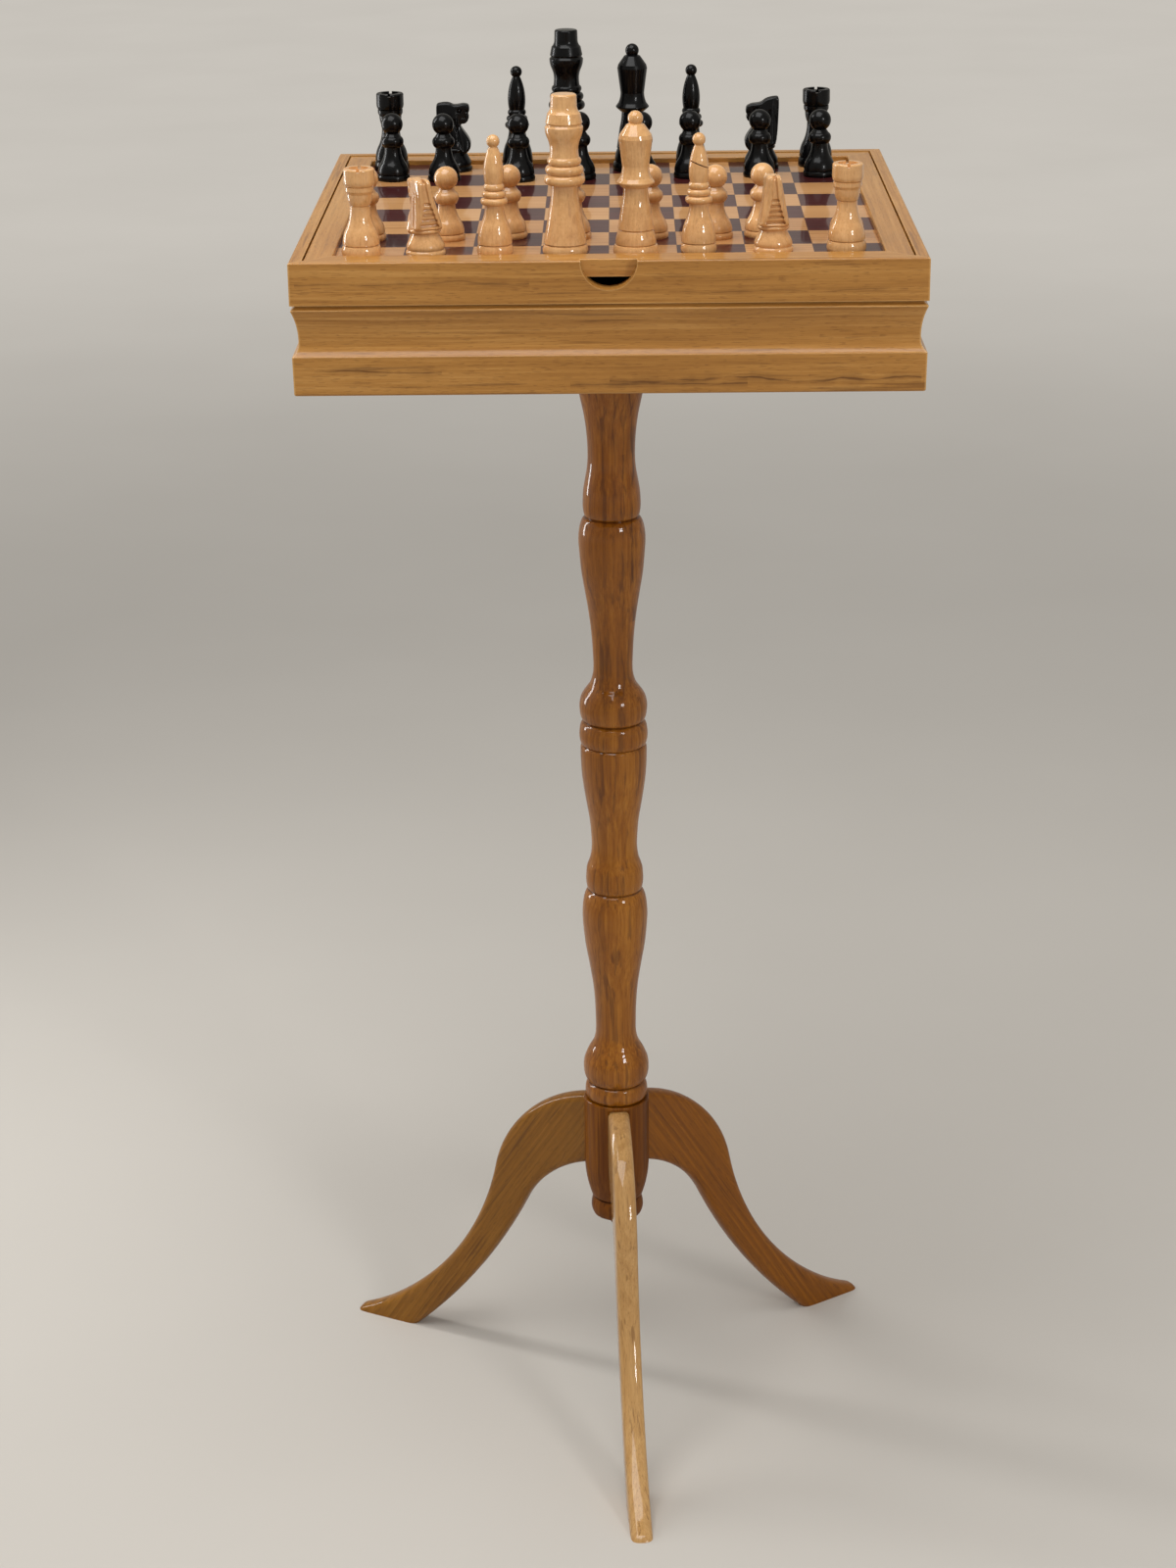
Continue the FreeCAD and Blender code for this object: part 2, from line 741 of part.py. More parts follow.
def make_studs_and_inserts():
    """At each joint of the column a stud stands out of one piece and screws into a sleeve in the next."""
    make_insert("disc_insert", disc_base)
    make_stud("top_stud", disc_base - stud_in_wood)
    make_insert("column_insert", upper_base)
    make_stud("middle_stud", upper_base - stud_in_wood)
    make_insert("hub_insert", hub_top - insert_length)
    make_stud("bottom_stud", hub_top - stud_reach)


# ---------------------------------------------------------------- column, hub and legs

def make_column():
    stud_bore = (stud_radius + fit_gap, stud_in_wood + fit_gap)
    insert_bore = (insert_radius + fit_gap, insert_length + fit_gap)
    upper = new_body("column_upper")
    turn_body(upper, UPPER_COLUMN, upper_foot_radius, insert_bore, stud_bore)
    place(upper, up=upper_base)
    node(upper, "column_upper")
    lower = new_body("column_lower")
    turn_body(lower, LOWER_COLUMN, lower_foot_radius, stud_bore, stud_bore)
    place(lower, up=lower_base)
    node(lower, "column_lower")


def make_hub():
    """The hub: a flat-bottomed slot and two dowel bores for each leg."""
    hub = new_body("hub")
    turn_body(hub, HUB, hub_tip_radius, None, (insert_radius + fit_gap, insert_length + fit_gap))
    foot = leg_foot_of_seat - hub_base
    slot = sketch_on(hub, "hub_slot", "XY_Plane", foot - hub_slot_relief)
    half = leg_thickness / 2 + fit_gap
    rectangle(slot, leg_seat - fit_gap, -half, leg_seat + leg_thickness, half)
    seat = pocket(hub, slot, hub_slot_relief + leg_seat_height + fit_gap, reverse=True)
    bores = sketch_on(hub, "hub_dowel_bores", "YZ_Plane", dowel_inner - fit_gap)
    circle(bores, 0, foot + dowel_low, dowel_radius + fit_gap)
    circle(bores, 0, foot + dowel_high, dowel_radius + fit_gap)
    holes = pocket(hub, bores, leg_seat, reverse=True)
    around(hub, [seat, holes], len(LEG_TURNS))
    place(hub, up=hub_base, angle=leg_turn)
    node(hub, "hub")


LEG_TURNS = {"leg_front": 0, "leg_back_right": 120, "leg_back_left": 240}

# Side outline of a leg: runs are outwards, drops are downwards from the seat, heights are from the floor.
knee_radius = dim("leg_knee_radius", 79.7)
shin_run = dim("leg_shin_run_from_seat", 65.4)
shin_drop = dim("leg_shin_drop_from_seat_top", 62.2)
ankle_run = dim("leg_ankle_run_from_shin", 65.3)
ankle_height = dim("leg_ankle_height", 33.4)
toe_run = dim("leg_toe_run_from_ankle", 28.7)
tip_run = dim("leg_tip_run_from_toe", 10.1)
sole_length = dim("leg_sole_length", 44.5)
arch_radius = dim("leg_arch_radius", 376.0)
crook_run = dim("leg_crook_run_from_seat", 44.6)
crook_drop = dim("leg_crook_drop_from_seat_foot", 37.3)
shin_reach = leg_seat + shin_run
ankle_reach = shin_reach + ankle_run
toe_reach = ankle_reach + toe_run
tip_reach = toe_reach + tip_run


def make_leg(name, extra_turn):
    """A leg sawn from a board to a side outline, its long edges rounded over, bored for two dowels."""
    leg = new_body(name)
    side = sketch_on(leg, name + "_side", "XZ_Plane")
    seat_top = leg_foot_of_seat + leg_seat_height
    outline = Outline(side, leg_seat, seat_top)
    outline.bend(knee_radius, shin_reach, seat_top - shin_drop, False)
    outline.flow(ankle_reach, ankle_height)
    outline.run_on(toe_reach)
    outline.flow(tip_reach, 0)
    outline.line(tip_reach - sole_length, 0)
    outline.bend(arch_radius, leg_seat + crook_run, leg_foot_of_seat - crook_drop, False)
    outline.flow(leg_seat, leg_foot_of_seat)
    outline.close()
    blank = pad(leg, side, leg_thickness, both_ways=True)
    doc.recompute()
    rounded = leg.newObject("PartDesign::Fillet", name + "_edges")
    rounded.Base = (blank, side_edges(blank.Shape, leg_thickness, off_seat_and_sole))
    bind(rounded, "Radius", leg_round)
    doc.recompute()
    bores = sketch_on(leg, name + "_dowel_bores", "YZ_Plane", leg_seat)
    for height in (dowel_low, dowel_high):
        circle(bores, 0, leg_foot_of_seat + height, dowel_radius + fit_gap)
    pocket(leg, bores, dowel_inner + dowel_length + fit_gap - leg_seat, reverse=True)
    place(leg, angle=leg_turn + extra_turn)
    node(leg, name)


def off_seat_and_sole(box):
    """True for the box of an edge that isn't on the leg's seat or its sole."""
    return box.XMax > leg_seat.value + NEAR and box.ZMax > NEAR


def make_dowels():
    dowels = []
    for leg, extra_turn in LEG_TURNS.items():
        for level, height in (("low", dowel_low), ("high", dowel_high)):
            body = new_body(f"dowel_{leg}_{level}")
            sketch = sketch_on(body, body.Name + "_end", "YZ_Plane", dowel_inner)
            circle(sketch, 0, leg_foot_of_seat + height, dowel_radius)
            pad(body, sketch, dowel_length)
            place(body, angle=leg_turn + extra_turn)
            dowels.append(body)
    group = doc.addObject("Part::Compound", "leg_dowels")
    group.Links = dowels
    node(group, "leg_dowels")


# ---------------------------------------------------------------- lid and board

def make_lid():
    for number, side in enumerate(SIDES):
        mitred_side(f"lid_rail_{side}", lid_half, 360 / len(SIDES) * number, draw_rail)
    core_top = board_top - veneer
    core = plain_block("board_core", field_half + rail_lap - fit_gap, lid_base, core_top - lid_base)
    node(core, "board_core")
    for name, odd in (("light_squares", 0), ("dark_squares", 1)):
        tiles = []
        for column in range(BOARD_SIDE):
            for row in range(BOARD_SIDE):
                if (column + row) % 2 != odd:
                    continue
                tile = doc.addObject("Part::Box", f"{name}_{column + 1}_{row + 1}")
                for prop, size in (("Length", square), ("Width", square), ("Height", veneer)):
                    bind(tile, prop, size)
                across = square * (column - BOARD_SIDE / 2)
                back = square * (row - BOARD_SIDE / 2)
                place(tile, across, back, core_top)
                tiles.append(tile)
        group = doc.addObject("Part::Compound", name)
        group.Links = tiles
        node(group, name)


# ---------------------------------------------------------------- men

MEN = {
    "king": (turning("king", [
        ("swell", "rim", 1.7, 11.7),
        ("ease", "rim_top", 3.0, 10.9),
        ("line", "groove", 0.4, 10.2),
        ("line", "shoulder", 0.4, 11.0),
        ("line", "body", 17.4, 8.0),
        ("swell", "waist", 12.2, 6.8),
        ("step", "collar_foot", 8.4),
        ("swell", "collar", 2.6, 10.55),
        ("ease", "collar_top", 2.6, 8.3),
        ("swell", "ring", 2.4, 9.8),
        ("ease", "ring_top", 2.3, 7.4),
        ("swell", "bead", 2.0, 8.7),
        ("ease", "bead_top", 2.0, 7.6),
        ("swell", "neck", 3.9, 7.25),
        ("ogee", "cup", 5.6, 5.6, 9.75),
        ("line", "cup_groove", 1.2, 8.8),
        ("line", "crown_rim", 1.0, 9.35),
        ("line", "crown_slope", 4.6, 8.4),
        ("swell", "block_foot", 3.6, 6.75),
        ("line", "block", 4.9, 6.6),
        ("ease", "block_edge", 1.1, 5.4)]), dim("king_foot_radius", 11.3)),
    "queen": (turning("queen", [
        ("swell", "rim", 1.7, 11.7),
        ("ease", "rim_top", 3.1, 10.9),
        ("line", "groove", 0.4, 9.9),
        ("line", "shoulder", 0.4, 10.4),
        ("ease", "belly", 6.4, 9.1),
        ("line", "belly_groove", 0.5, 8.6),
        ("line", "shank_foot", 0.6, 9.2),
        ("line", "shank", 11.6, 7.45),
        ("swell", "waist", 9.3, 6.25),
        ("step", "flange_foot", 7.0),
        ("line", "flange", 2.0, 9.3),
        ("swell", "flange_rim", 0.6, 9.6),
        ("ease", "flange_rim_top", 0.6, 9.3),
        ("line", "flange_top", 1.6, 8.1),
        ("swell", "neck", 5.8, 6.85),
        ("line", "cup", 13.9, 8.65),
        ("line", "cup_rim", 2.0, 8.1),
        ("line", "cup_top", 4.9, 4.6),
        ("line", "ball_neck", 0.7, 3.2),
        ("swell", "ball", 2.3, 3.9),
        ("dome", "ball_top", 3.9)]), dim("queen_foot_radius", 11.3)),
    "bishop": (turning("bishop", [
        ("swell", "rim", 1.5, 9.3),
        ("ease", "rim_top", 3.0, 8.7),
        ("line", "groove", 0.35, 8.1),
        ("line", "shoulder", 0.35, 8.85),
        ("ease", "body", 10.0, 7.15),
        ("swell", "waist", 9.6, 4.8),
        ("step", "collar_foot", 5.6),
        ("swell", "collar", 1.9, 7.0),
        ("ease", "collar_top", 1.8, 4.9),
        ("swell", "ring", 1.8, 6.1),
        ("ease", "ring_top", 1.8, 4.3),
        ("swell", "bead", 1.7, 5.3),
        ("ease", "bead_top", 1.7, 4.5),
        ("swell", "mitre", 5.5, 5.1),
        ("ease", "mitre_top", 12.3, 2.6),
        ("line", "ball_stem", 1.0, 2.1),
        ("swell", "ball", 2.6, 3.35),
        ("dome", "ball_top", 3.35)]), dim("bishop_foot_radius", 8.95)),
    "rook": (turning("rook", [
        ("swell", "rim", 1.5, 10.2),
        ("ease", "rim_top", 3.6, 9.5),
        ("line", "groove", 0.4, 8.9),
        ("line", "shoulder", 0.4, 9.5),
        ("ease", "body", 8.7, 7.2),
        ("swell", "waist", 9.6, 5.2),
        ("line", "neck", 0.8, 5.25),
        ("line", "neck_groove", 0.4, 4.8),
        ("line", "cup_foot", 0.4, 5.4),
        ("swell", "cup", 5.6, 6.45),
        ("line", "cup_flare", 1.6, 7.25),
        ("line", "collar", 1.9, 7.3),
        ("line", "collar_groove", 0.4, 6.7),
        ("line", "head_foot", 0.4, 7.4),
        ("swell", "head", 2.4, 7.95),
        ("line", "head_wall", 5.3, 7.9),
        ("ease", "head_edge", 1.0, 7.2)]), dim("rook_foot_radius", 9.85)),
    "knight": (turning("knight", [
        ("swell", "rim", 1.4, 10.3),
        ("ease", "rim_top", 2.0, 9.7),
        ("line", "groove", 0.35, 9.0),
        ("line", "shoulder", 0.35, 9.4),
        ("swell", "bell", 4.8, 6.7)]), dim("knight_foot_radius", 9.95)),
    "pawn": (turning("pawn", [
        ("swell", "rim", 1.3, 9.4),
        ("ease", "rim_top", 1.9, 8.9),
        ("line", "groove", 0.3, 8.4),
        ("line", "shoulder", 0.3, 8.95),
        ("ease", "body", 6.2, 7.0),
        ("swell", "waist", 8.8, 4.5),
        ("step", "collar_foot", 5.0),
        ("swell", "collar", 3.2, 6.4),
        ("ease", "collar_top", 2.8, 4.9),
        ("line", "neck", 1.9, 3.6),
        ("swell", "head", 5.05, 6.2),
        ("dome", "head_top", 6.2)]), dim("pawn_foot_radius", 9.05)),
}
rook_well_radius = dim("rook_well_radius", 5.2)
rook_well_depth = dim("rook_well_depth", 3.2)
rook_slot_width = dim("rook_slot_width", 1.6)
rook_slot_depth = dim("rook_slot_depth", 1.5)
ROOK_SLOTS = 4
mitre_cut_width = dim("bishop_mitre_cut_width", 0.7)
mitre_cut_floor = dim("bishop_mitre_cut_floor_before_axis", 1.2)
mitre_cut_drop = dim("bishop_mitre_cut_top_below_point", 12.2)
mitre_cut_fall = dim("bishop_mitre_cut_fall", 7.5)
head_width = dim("knight_head_width", 12.4)
head_round = dim("knight_head_edge_round", 1.2)
head_sink = dim("knight_head_sink", 1.0)
head_front = dim("knight_head_foot_front", 6.4)
head_back = dim("knight_head_foot_back", 6.6)

# Corners of the knight's head, from the chest round to the back of the neck: how far each lies
# forward of the axis, and how far above the corner before it.
KNIGHT_HEAD = [(dim(f"knight_{corner}_reach", reach), dim(f"knight_{corner}_climb", climb))
               for corner, reach, climb in (
                   ("chest", 9.6, 7.7),
                   ("throat", 3.9, 10.4),
                   ("chin", 7.0, 1.0),
                   ("lip", 8.9, 3.5),
                   ("nose", 9.1, 5.0),
                   ("bridge", 8.0, 2.5),
                   ("brow", 0.8, -0.4),
                   ("ear", -3.5, 1.8),
                   ("poll", -9.2, -0.5),
                   ("crest", -9.6, -7.9),
                   ("neck", -9.3, -15.4))]

FIRST_ROW = ("rook", "knight", "bishop", "king", "queen", "bishop", "knight", "rook")
FILES = "abcdefgh"

# How far each man stands from the middle of its square, across and back, from file a to file h, and
# how far each knight and bishop is turned: at 0 a knight looks right and a bishop's cut is in front.
SHIFTS = {
    "white_first": [(-4.0, -1.5), (-6.2, -1.0), (-5.7, 0.5), (-4.7, -1.0),
                    (-3.6, -4.0), (-6.5, 0.5), (-3.4, 0.4), (-1.0, 0.5)],
    "white_pawns": [(-3.5, 4.0), (3.0, 3.0), (0.5, 7.0), (-1.0, 4.0),
                    (4.4, 4.0), (3.0, 1.5), (-7.5, 5.0), (1.5, 2.0)],
    "black_first": [(-5.0, 3.0), (-3.0, -1.0), (-1.0, -5.0), (-7.0, -4.0),
                    (-4.0, -4.5), (-5.0, -5.0), (1.0, -1.0), (-2.0, 4.0)],
    "black_pawns": [(-1.9, 4.5), (-7.5, 1.7), (0.5, -0.7), (0.4, 4.0),
                    (1.0, 2.0), (-6.2, 5.0), (-1.2, 6.0), (-1.7, 5.5)],
}
TURNS = {"white_knight_b": 128, "white_knight_g": 108, "black_knight_b": 2, "black_knight_g": 180,
         "white_bishop_c": 150, "white_bishop_f": 6, "black_bishop_c": 215, "black_bishop_f": 170}


def carve_rook(body, height):
    """Cuts the slots through the wall of the head."""
    reach = rook_well_radius * 2
    half = rook_slot_width / 2
    cut = sketch_on(body, body.Name + "_slot", "XY_Plane", height - rook_slot_depth)
    rectangle(cut, 0, -half, reach, half)
    slot = pocket(body, cut, rook_slot_depth + OVERCUT, reverse=True)
    doc.recompute()
    around(body, [slot], ROOK_SLOTS)


def carve_bishop(body, height, girth):
    """Saws the slanting cut into the front of the mitre."""
    side = sketch_on(body, body.Name + "_cut", "XZ_Plane", mitre_cut_floor)
    high = height - mitre_cut_drop
    low = high - mitre_cut_fall
    outline = Outline(side, -girth, high)
    outline.line(girth, low)
    outline.line(girth, low + mitre_cut_width)
    outline.line(-girth, high + mitre_cut_width)
    outline.close()
    pocket(body, side, girth, reverse=True)


def carve_knight(body, turned_top):
    """Adds the horse's head: a side outline of even thickness with its edges rounded over."""
    foot = turned_top - head_sink
    side = sketch_on(body, body.Name + "_head", "XZ_Plane")
    outline = Outline(side, head_front, foot)
    height = foot
    for reach, climb in KNIGHT_HEAD:
        height += climb
        outline.line(reach, height)
    outline.line(-head_back, foot)
    outline.close()
    head = pad(body, side, head_width, both_ways=True)
    doc.recompute()
    above_foot = foot.value + NEAR
    rounded = body.newObject("PartDesign::Fillet", body.Name + "_head_edges")
    rounded.Base = (head, side_edges(head.Shape, head_width, lambda box: box.ZMax > above_foot))
    bind(rounded, "Radius", head_round)


def make_man(kind):
    """The first man of a kind, which the others of the kind follow."""
    stretches, foot_radius = MEN[kind]
    body = new_body(f"{kind}_pattern")
    height = turned_height(stretches)
    if kind == "knight":
        carve_knight(body, height)
    top_bore = (rook_well_radius, rook_well_depth) if kind == "rook" else None
    turn_body(body, stretches, foot_radius, None, top_bore)
    doc.recompute()
    if kind == "rook":
        carve_rook(body, height)
    if kind == "bishop":
        carve_bishop(body, height, foot_radius)
    return body


def stand(pattern, name, column, row, shift, angle=0):
    """A man like the pattern, on its square."""
    body = new_body(name)
    copy = doc.addObject("PartDesign::FeatureBase", name + "_copy")
    copy.BaseFeature = pattern
    body.Group = [copy]
    body.Tip = copy
    middle = (BOARD_SIDE - 1) / 2
    across = square * (column - middle) + dim(f"{name}_shift_across", shift[0])
    back = square * (row - middle) + dim(f"{name}_shift_back", shift[1])
    place(body, across, back, board_top, angle)
    node(body, name)


def make_men():
    patterns = {kind: make_man(kind) for kind in MEN}
    rows = (("white", 0, 1), ("black", BOARD_SIDE - 1, BOARD_SIDE - 2))
    for colour, first_row, pawn_row in rows:
        for column, kind in enumerate(FIRST_ROW):
            name = f"{colour}_{kind}"
            if FIRST_ROW.count(kind) > 1:
                name += f"_{FILES[column]}"
            shift = SHIFTS[f"{colour}_first"][column]
            angle = dim(f"{name}_angle", TURNS[name]) if name in TURNS else 0
            stand(patterns[kind], name, column, first_row, shift, angle)
        for column in range(BOARD_SIDE):
            name = f"{colour}_pawn_{FILES[column]}"
            stand(patterns["pawn"], name, column, pawn_row, SHIFTS[f"{colour}_pawns"][column])


# ---------------------------------------------------------------- build, check and write

make_walls()
make_box_bottom()
make_disc()
make_screws()
make_studs_and_inserts()
make_column()
make_hub()
for leg_name, leg_extra_turn in LEG_TURNS.items():
    make_leg(leg_name, leg_extra_turn)
make_dowels()
make_lid()
make_men()
doc.recompute()

for item in doc.Objects:
    if "Invalid" in item.State or "Error" in item.State:
        raise RuntimeError(f"{item.Name} did not build: {item.State}")
for item in NODES:
    if item.Shape.isNull() or not item.Shape.isValid():
        raise RuntimeError(f"{item.Label} has no valid shape")

os.makedirs("parts", exist_ok=True)
for item in NODES:
    item.Shape.exportStep(f"parts/{item.Label}.step")
    box = item.Shape.BoundBox
    print(f"{item.Label}: {len(item.Shape.Solids)} solid(s), volume {item.Shape.Volume / 1000:.2f} cm3, "
          f"z {box.ZMin:.2f} to {box.ZMax:.2f}")
print(f"{len(NODES)} nodes")
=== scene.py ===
import math

import bmesh
import bpy
from mathutils import Matrix, Vector


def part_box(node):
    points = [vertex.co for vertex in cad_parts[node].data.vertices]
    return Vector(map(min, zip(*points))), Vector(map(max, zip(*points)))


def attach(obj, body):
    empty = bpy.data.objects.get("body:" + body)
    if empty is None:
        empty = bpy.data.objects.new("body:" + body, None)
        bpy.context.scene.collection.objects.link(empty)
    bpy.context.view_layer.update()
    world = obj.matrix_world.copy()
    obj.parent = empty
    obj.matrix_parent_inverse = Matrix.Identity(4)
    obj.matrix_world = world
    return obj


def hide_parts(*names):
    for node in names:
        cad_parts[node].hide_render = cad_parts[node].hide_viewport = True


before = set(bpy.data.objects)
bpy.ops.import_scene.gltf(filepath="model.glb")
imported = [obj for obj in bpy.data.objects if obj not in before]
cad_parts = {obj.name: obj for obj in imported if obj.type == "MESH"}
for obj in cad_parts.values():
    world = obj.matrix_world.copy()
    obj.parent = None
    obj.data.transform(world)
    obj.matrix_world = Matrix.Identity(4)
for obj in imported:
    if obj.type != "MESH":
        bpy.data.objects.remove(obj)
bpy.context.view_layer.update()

# Outlines are drawn in millimetres; all other sizes and places are in metres, and angles in degrees.
MM = 0.001
SQUARE = 0.035          # side of one square of the board
SHARP_ANGLE = 38        # faces that meet at more than this keep a crisp edge
AS_DRAWN = Matrix.Identity(4)


# ---------------------------------------------------------------- shader helpers

def connect(tree, node, wires):
    """Gives each named input of a node a number, a colour or another node's output."""
    for name, value in wires.items():
        if isinstance(value, bpy.types.NodeSocket):
            tree.links.new(value, node.inputs[name])
        else:
            node.inputs[name].default_value = value


def add(tree, kind, wires=None, **settings):
    """Adds a shader node with its settings and with what its inputs get."""
    made = tree.nodes.new("ShaderNode" + kind)
    for name, value in settings.items():
        setattr(made, name, value)
    connect(tree, made, wires or {})
    return made


def use(tree, group, wires):
    """Places a shared effect in a material and returns its outputs."""
    return add(tree, "Group", wires, node_tree=group).outputs


def maths(tree, operation, first, second=0.0, clamp=False):
    """Works on two values, or on one."""
    return add(tree, "Math", {0: first, 1: second}, operation=operation, use_clamp=clamp).outputs[0]


def times(tree, first, second):
    """Multiplies two values."""
    return maths(tree, "MULTIPLY", first, second)


def centred(tree, value):
    """A value from 0 to 1, moved so that its middle is 0."""
    return maths(tree, "SUBTRACT", value, 0.5)


def add_share(tree, value, more, share, clamp=False):
    """Adds a share of one value to another."""
    return maths(tree, "ADD", value, times(tree, more, share), clamp)


def vector_maths(tree, operation, first, second=(0.0, 0.0, 0.0)):
    """Works on two places, or on one."""
    return add(tree, "VectorMath", {0: first, 1: second}, operation=operation).outputs[0]


def scaled(tree, place, scale):
    """A place times a value."""
    wires = {0: place, "Scale": scale}
    return add(tree, "VectorMath", wires, operation="SCALE").outputs[0]


def length(tree, place):
    """How far a place is from the origin."""
    return add(tree, "VectorMath", {0: place}, operation="LENGTH").outputs["Value"]


def join(tree, x, y=0.0, z=0.0):
    """A place from three values."""
    return add(tree, "CombineXYZ", {"X": x, "Y": y, "Z": z}).outputs[0]


def split(tree, place):
    """The three values of a place."""
    return add(tree, "SeparateXYZ", {0: place}).outputs


def object_place(tree):
    """Where a point of the surface lies, from its own object's origin."""
    return add(tree, "TexCoord").outputs["Object"]


def noise(tree, place, scale, detail=2.0, roughness=0.5):
    """Soft patches, so many to the metre."""
    wires = {"Vector": place, "Scale": scale, "Detail": detail, "Roughness": roughness}
    return add(tree, "TexNoise", wires).outputs


def drawn_out(tree, place, along, across, detail=2.0, roughness=0.5):
    """Noise that runs with the grain along X: so many patches to the metre along it and across."""
    stretched = vector_maths(tree, "MULTIPLY", place, (along, across, across))
    return noise(tree, stretched, 1.0, detail, roughness)


def fade(tree, value, start, end, low=0.0, high=1.0):
    """Changes smoothly from low to high as the value goes from start to end."""
    wires = {"Value": value, "From Min": start, "From Max": end, "To Min": low, "To Max": high}
    return add(tree, "MapRange", wires, interpolation_type="SMOOTHSTEP").outputs["Result"]


def mix(tree, share, first, second):
    """A mix of two colours: the first at a share of 0, the second at 1."""
    return add(tree, "Mix", {0: share, 6: first, 7: second}, data_type="RGBA").outputs[2]


def stain(tree, tint, mask, strength, tone):
    """Stains a colour with a tone where the mask is."""
    return mix(tree, times(tree, mask, strength), tint, tone)


def colour(red, green, blue):
    """A colour given as it looks on a screen, from 0 to 255, turned into light."""
    def light(part):
        part /= 255
        return part / 12.92 if part <= 0.04045 else ((part + 0.055) / 1.055) ** 2.4
    return (light(red), light(green), light(blue), 1.0)


def ramp(tree, value, stops):
    """A colour ramp from (place, colour) stops."""
    made = add(tree, "ValToRGB", {"Fac": value})
    band = made.color_ramp
    while len(band.elements) < len(stops):
        band.elements.new(0.5)
    for element, (place, tint) in zip(band.elements, stops):
        element.position = place
        element.color = tint
    return made.outputs["Color"]


def relief(tree, height, strength, distance=0.0002):
    """The normal of a surface whose fine relief follows a value from 0 to 1."""
    wires = {"Strength": strength, "Distance": distance, "Height": height}
    return add(tree, "Bump", wires).outputs["Normal"]


def new_group(name, inputs, outputs):
    """A node group; an input whose number is None takes a place, and every output is a value.

    Returns the group, what it is given, and the node that gives out its results.
    """
    group = bpy.data.node_groups.new(name, "ShaderNodeTree")
    for label, value in inputs.items():
        kind = "NodeSocketVector" if value is None else "NodeSocketFloat"
        socket = group.interface.new_socket(label, in_out="INPUT", socket_type=kind)
        if value is not None:
            socket.default_value = value
    for label in outputs:
        group.interface.new_socket(label, in_out="OUTPUT", socket_type="NodeSocketFloat")
    return group, group.nodes.new("NodeGroupInput").outputs, group.nodes.new("NodeGroupOutput")


# ---------------------------------------------------------------- shared effects

def make_timber():
    """Sawn wood: rings round a pith that runs along X, and fibres, pores, clouds and streaks."""
    group, have, give = new_group(
        "timber",
        {"Position": None, "Ring Width": 0.003, "Sway": 0.004, "Fineness": 1.0, "Streak Start": 0.66},
        ["Rings", "Fibres", "Pores", "Clouds", "Streaks"])
    place = have["Position"]
    wander = drawn_out(group, place, 5.0, 18.0)["Color"]
    wander = vector_maths(group, "SUBTRACT", wander, (0.5, 0.5, 0.5))
    swayed = vector_maths(group, "ADD", place, scaled(group, wander, have["Sway"]))
    fine = scaled(group, swayed, have["Fineness"])

    # Year rings, unevenly wide: each darkens slowly, ends at once and is strong in patches.
    parts = split(group, swayed)
    from_pith = length(group, join(group, 0.0, parts["Y"], parts["Z"]))
    count = maths(group, "DIVIDE", from_pith, have["Ring Width"])
    uneven = noise(group, join(group, count), 0.31, 1.0)["Fac"]
    within = maths(group, "FRACT", add_share(group, count, uneven, 2.6))
    late = times(group, fade(group, within, 0.1, 0.88), fade(group, within, 0.9, 1.0, 1.0, 0.0))
    patch = drawn_out(group, place, 7.0, 60.0, 1.0)["Fac"]

    dashes = drawn_out(group, fine, 190.0, 2300.0, 0.0)["Fac"]
    bands = drawn_out(group, swayed, 11.0, 330.0, 2.0, 0.6)["Fac"]
    strong = maths(group, "ADD", have["Streak Start"], 0.09)
    connect(group, give, {
        "Rings": times(group, late, fade(group, patch, 0.3, 0.65, 0.25, 1.0)),
        "Fibres": drawn_out(group, fine, 13.0, 620.0, 4.0, 0.7)["Fac"],
        "Pores": fade(group, dashes, 0.64, 0.72),
        "Clouds": drawn_out(group, place, 6.0, 30.0)["Fac"],
        "Streaks": fade(group, bands, have["Streak Start"], strong)})
    return group


def make_rubbed_and_lit_edges():
    """A mask of the sharp outer edges, where the finish is worn thin and where a lighter tone is
    painted as a highlight along the edge.
    """
    group, have, give = new_group("rubbed_and_lit_edges", {"Width": 0.001}, ["Edge"])
    soft = add(group, "Bevel", {"Radius": have["Width"]}, samples=4).outputs["Normal"]
    true = add(group, "NewGeometry").outputs["Normal"]
    agree = add(group, "VectorMath", {0: soft, 1: true}, operation="DOT_PRODUCT").outputs["Value"]
    connect(group, give, {"Edge": fade(group, agree, 0.995, 0.86)})
    return group


def make_vein():
    """One dark vein that wanders along the grain: across it at Middle, thick and thin by turns."""
    group, have, give = new_group(
        "vein",
        {"Along": 0.0, "Across": 0.0, "Middle": 0.0, "Wander": 0.004, "Half Width": 0.001,
         "Start": -0.1, "End": 0.1, "Seed": 0.0},
        ["Vein"])
    along = maths(group, "ADD", have["Along"], have["Seed"])
    path = noise(group, join(group, along), 24.0, 3.0, 0.45)["Fac"]
    sway = times(group, centred(group, path), times(group, have["Wander"], 4.0))
    off = maths(group, "SUBTRACT", have["Across"], maths(group, "ADD", have["Middle"], sway))

    # A dark line with a faint bleed on both sides, both as wide as the girth says.
    girth = noise(group, join(group, along, 3.0), 70.0)["Fac"]
    reach = times(group, have["Half Width"], fade(group, girth, 0.3, 0.7, 0.25, 1.7))
    share = maths(group, "DIVIDE", maths(group, "ABSOLUTE", off), reach)
    line = fade(group, share, 0.1, 1.0, 1.0, 0.0)
    bleed = times(group, fade(group, share, 0.5, 4.5, 1.0, 0.0), 0.3)
    within = times(group, maths(group, "GREATER_THAN", have["Along"], have["Start"]),
                   maths(group, "LESS_THAN", have["Along"], have["End"]))
    whole = times(group, maths(group, "MAXIMUM", line, bleed), within)
    broken = noise(group, join(group, along, 9.0), 46.0)["Fac"]
    connect(group, give, {"Vein": times(group, whole, fade(group, broken, 0.34, 0.56, 0.15, 1.0))})
    return group


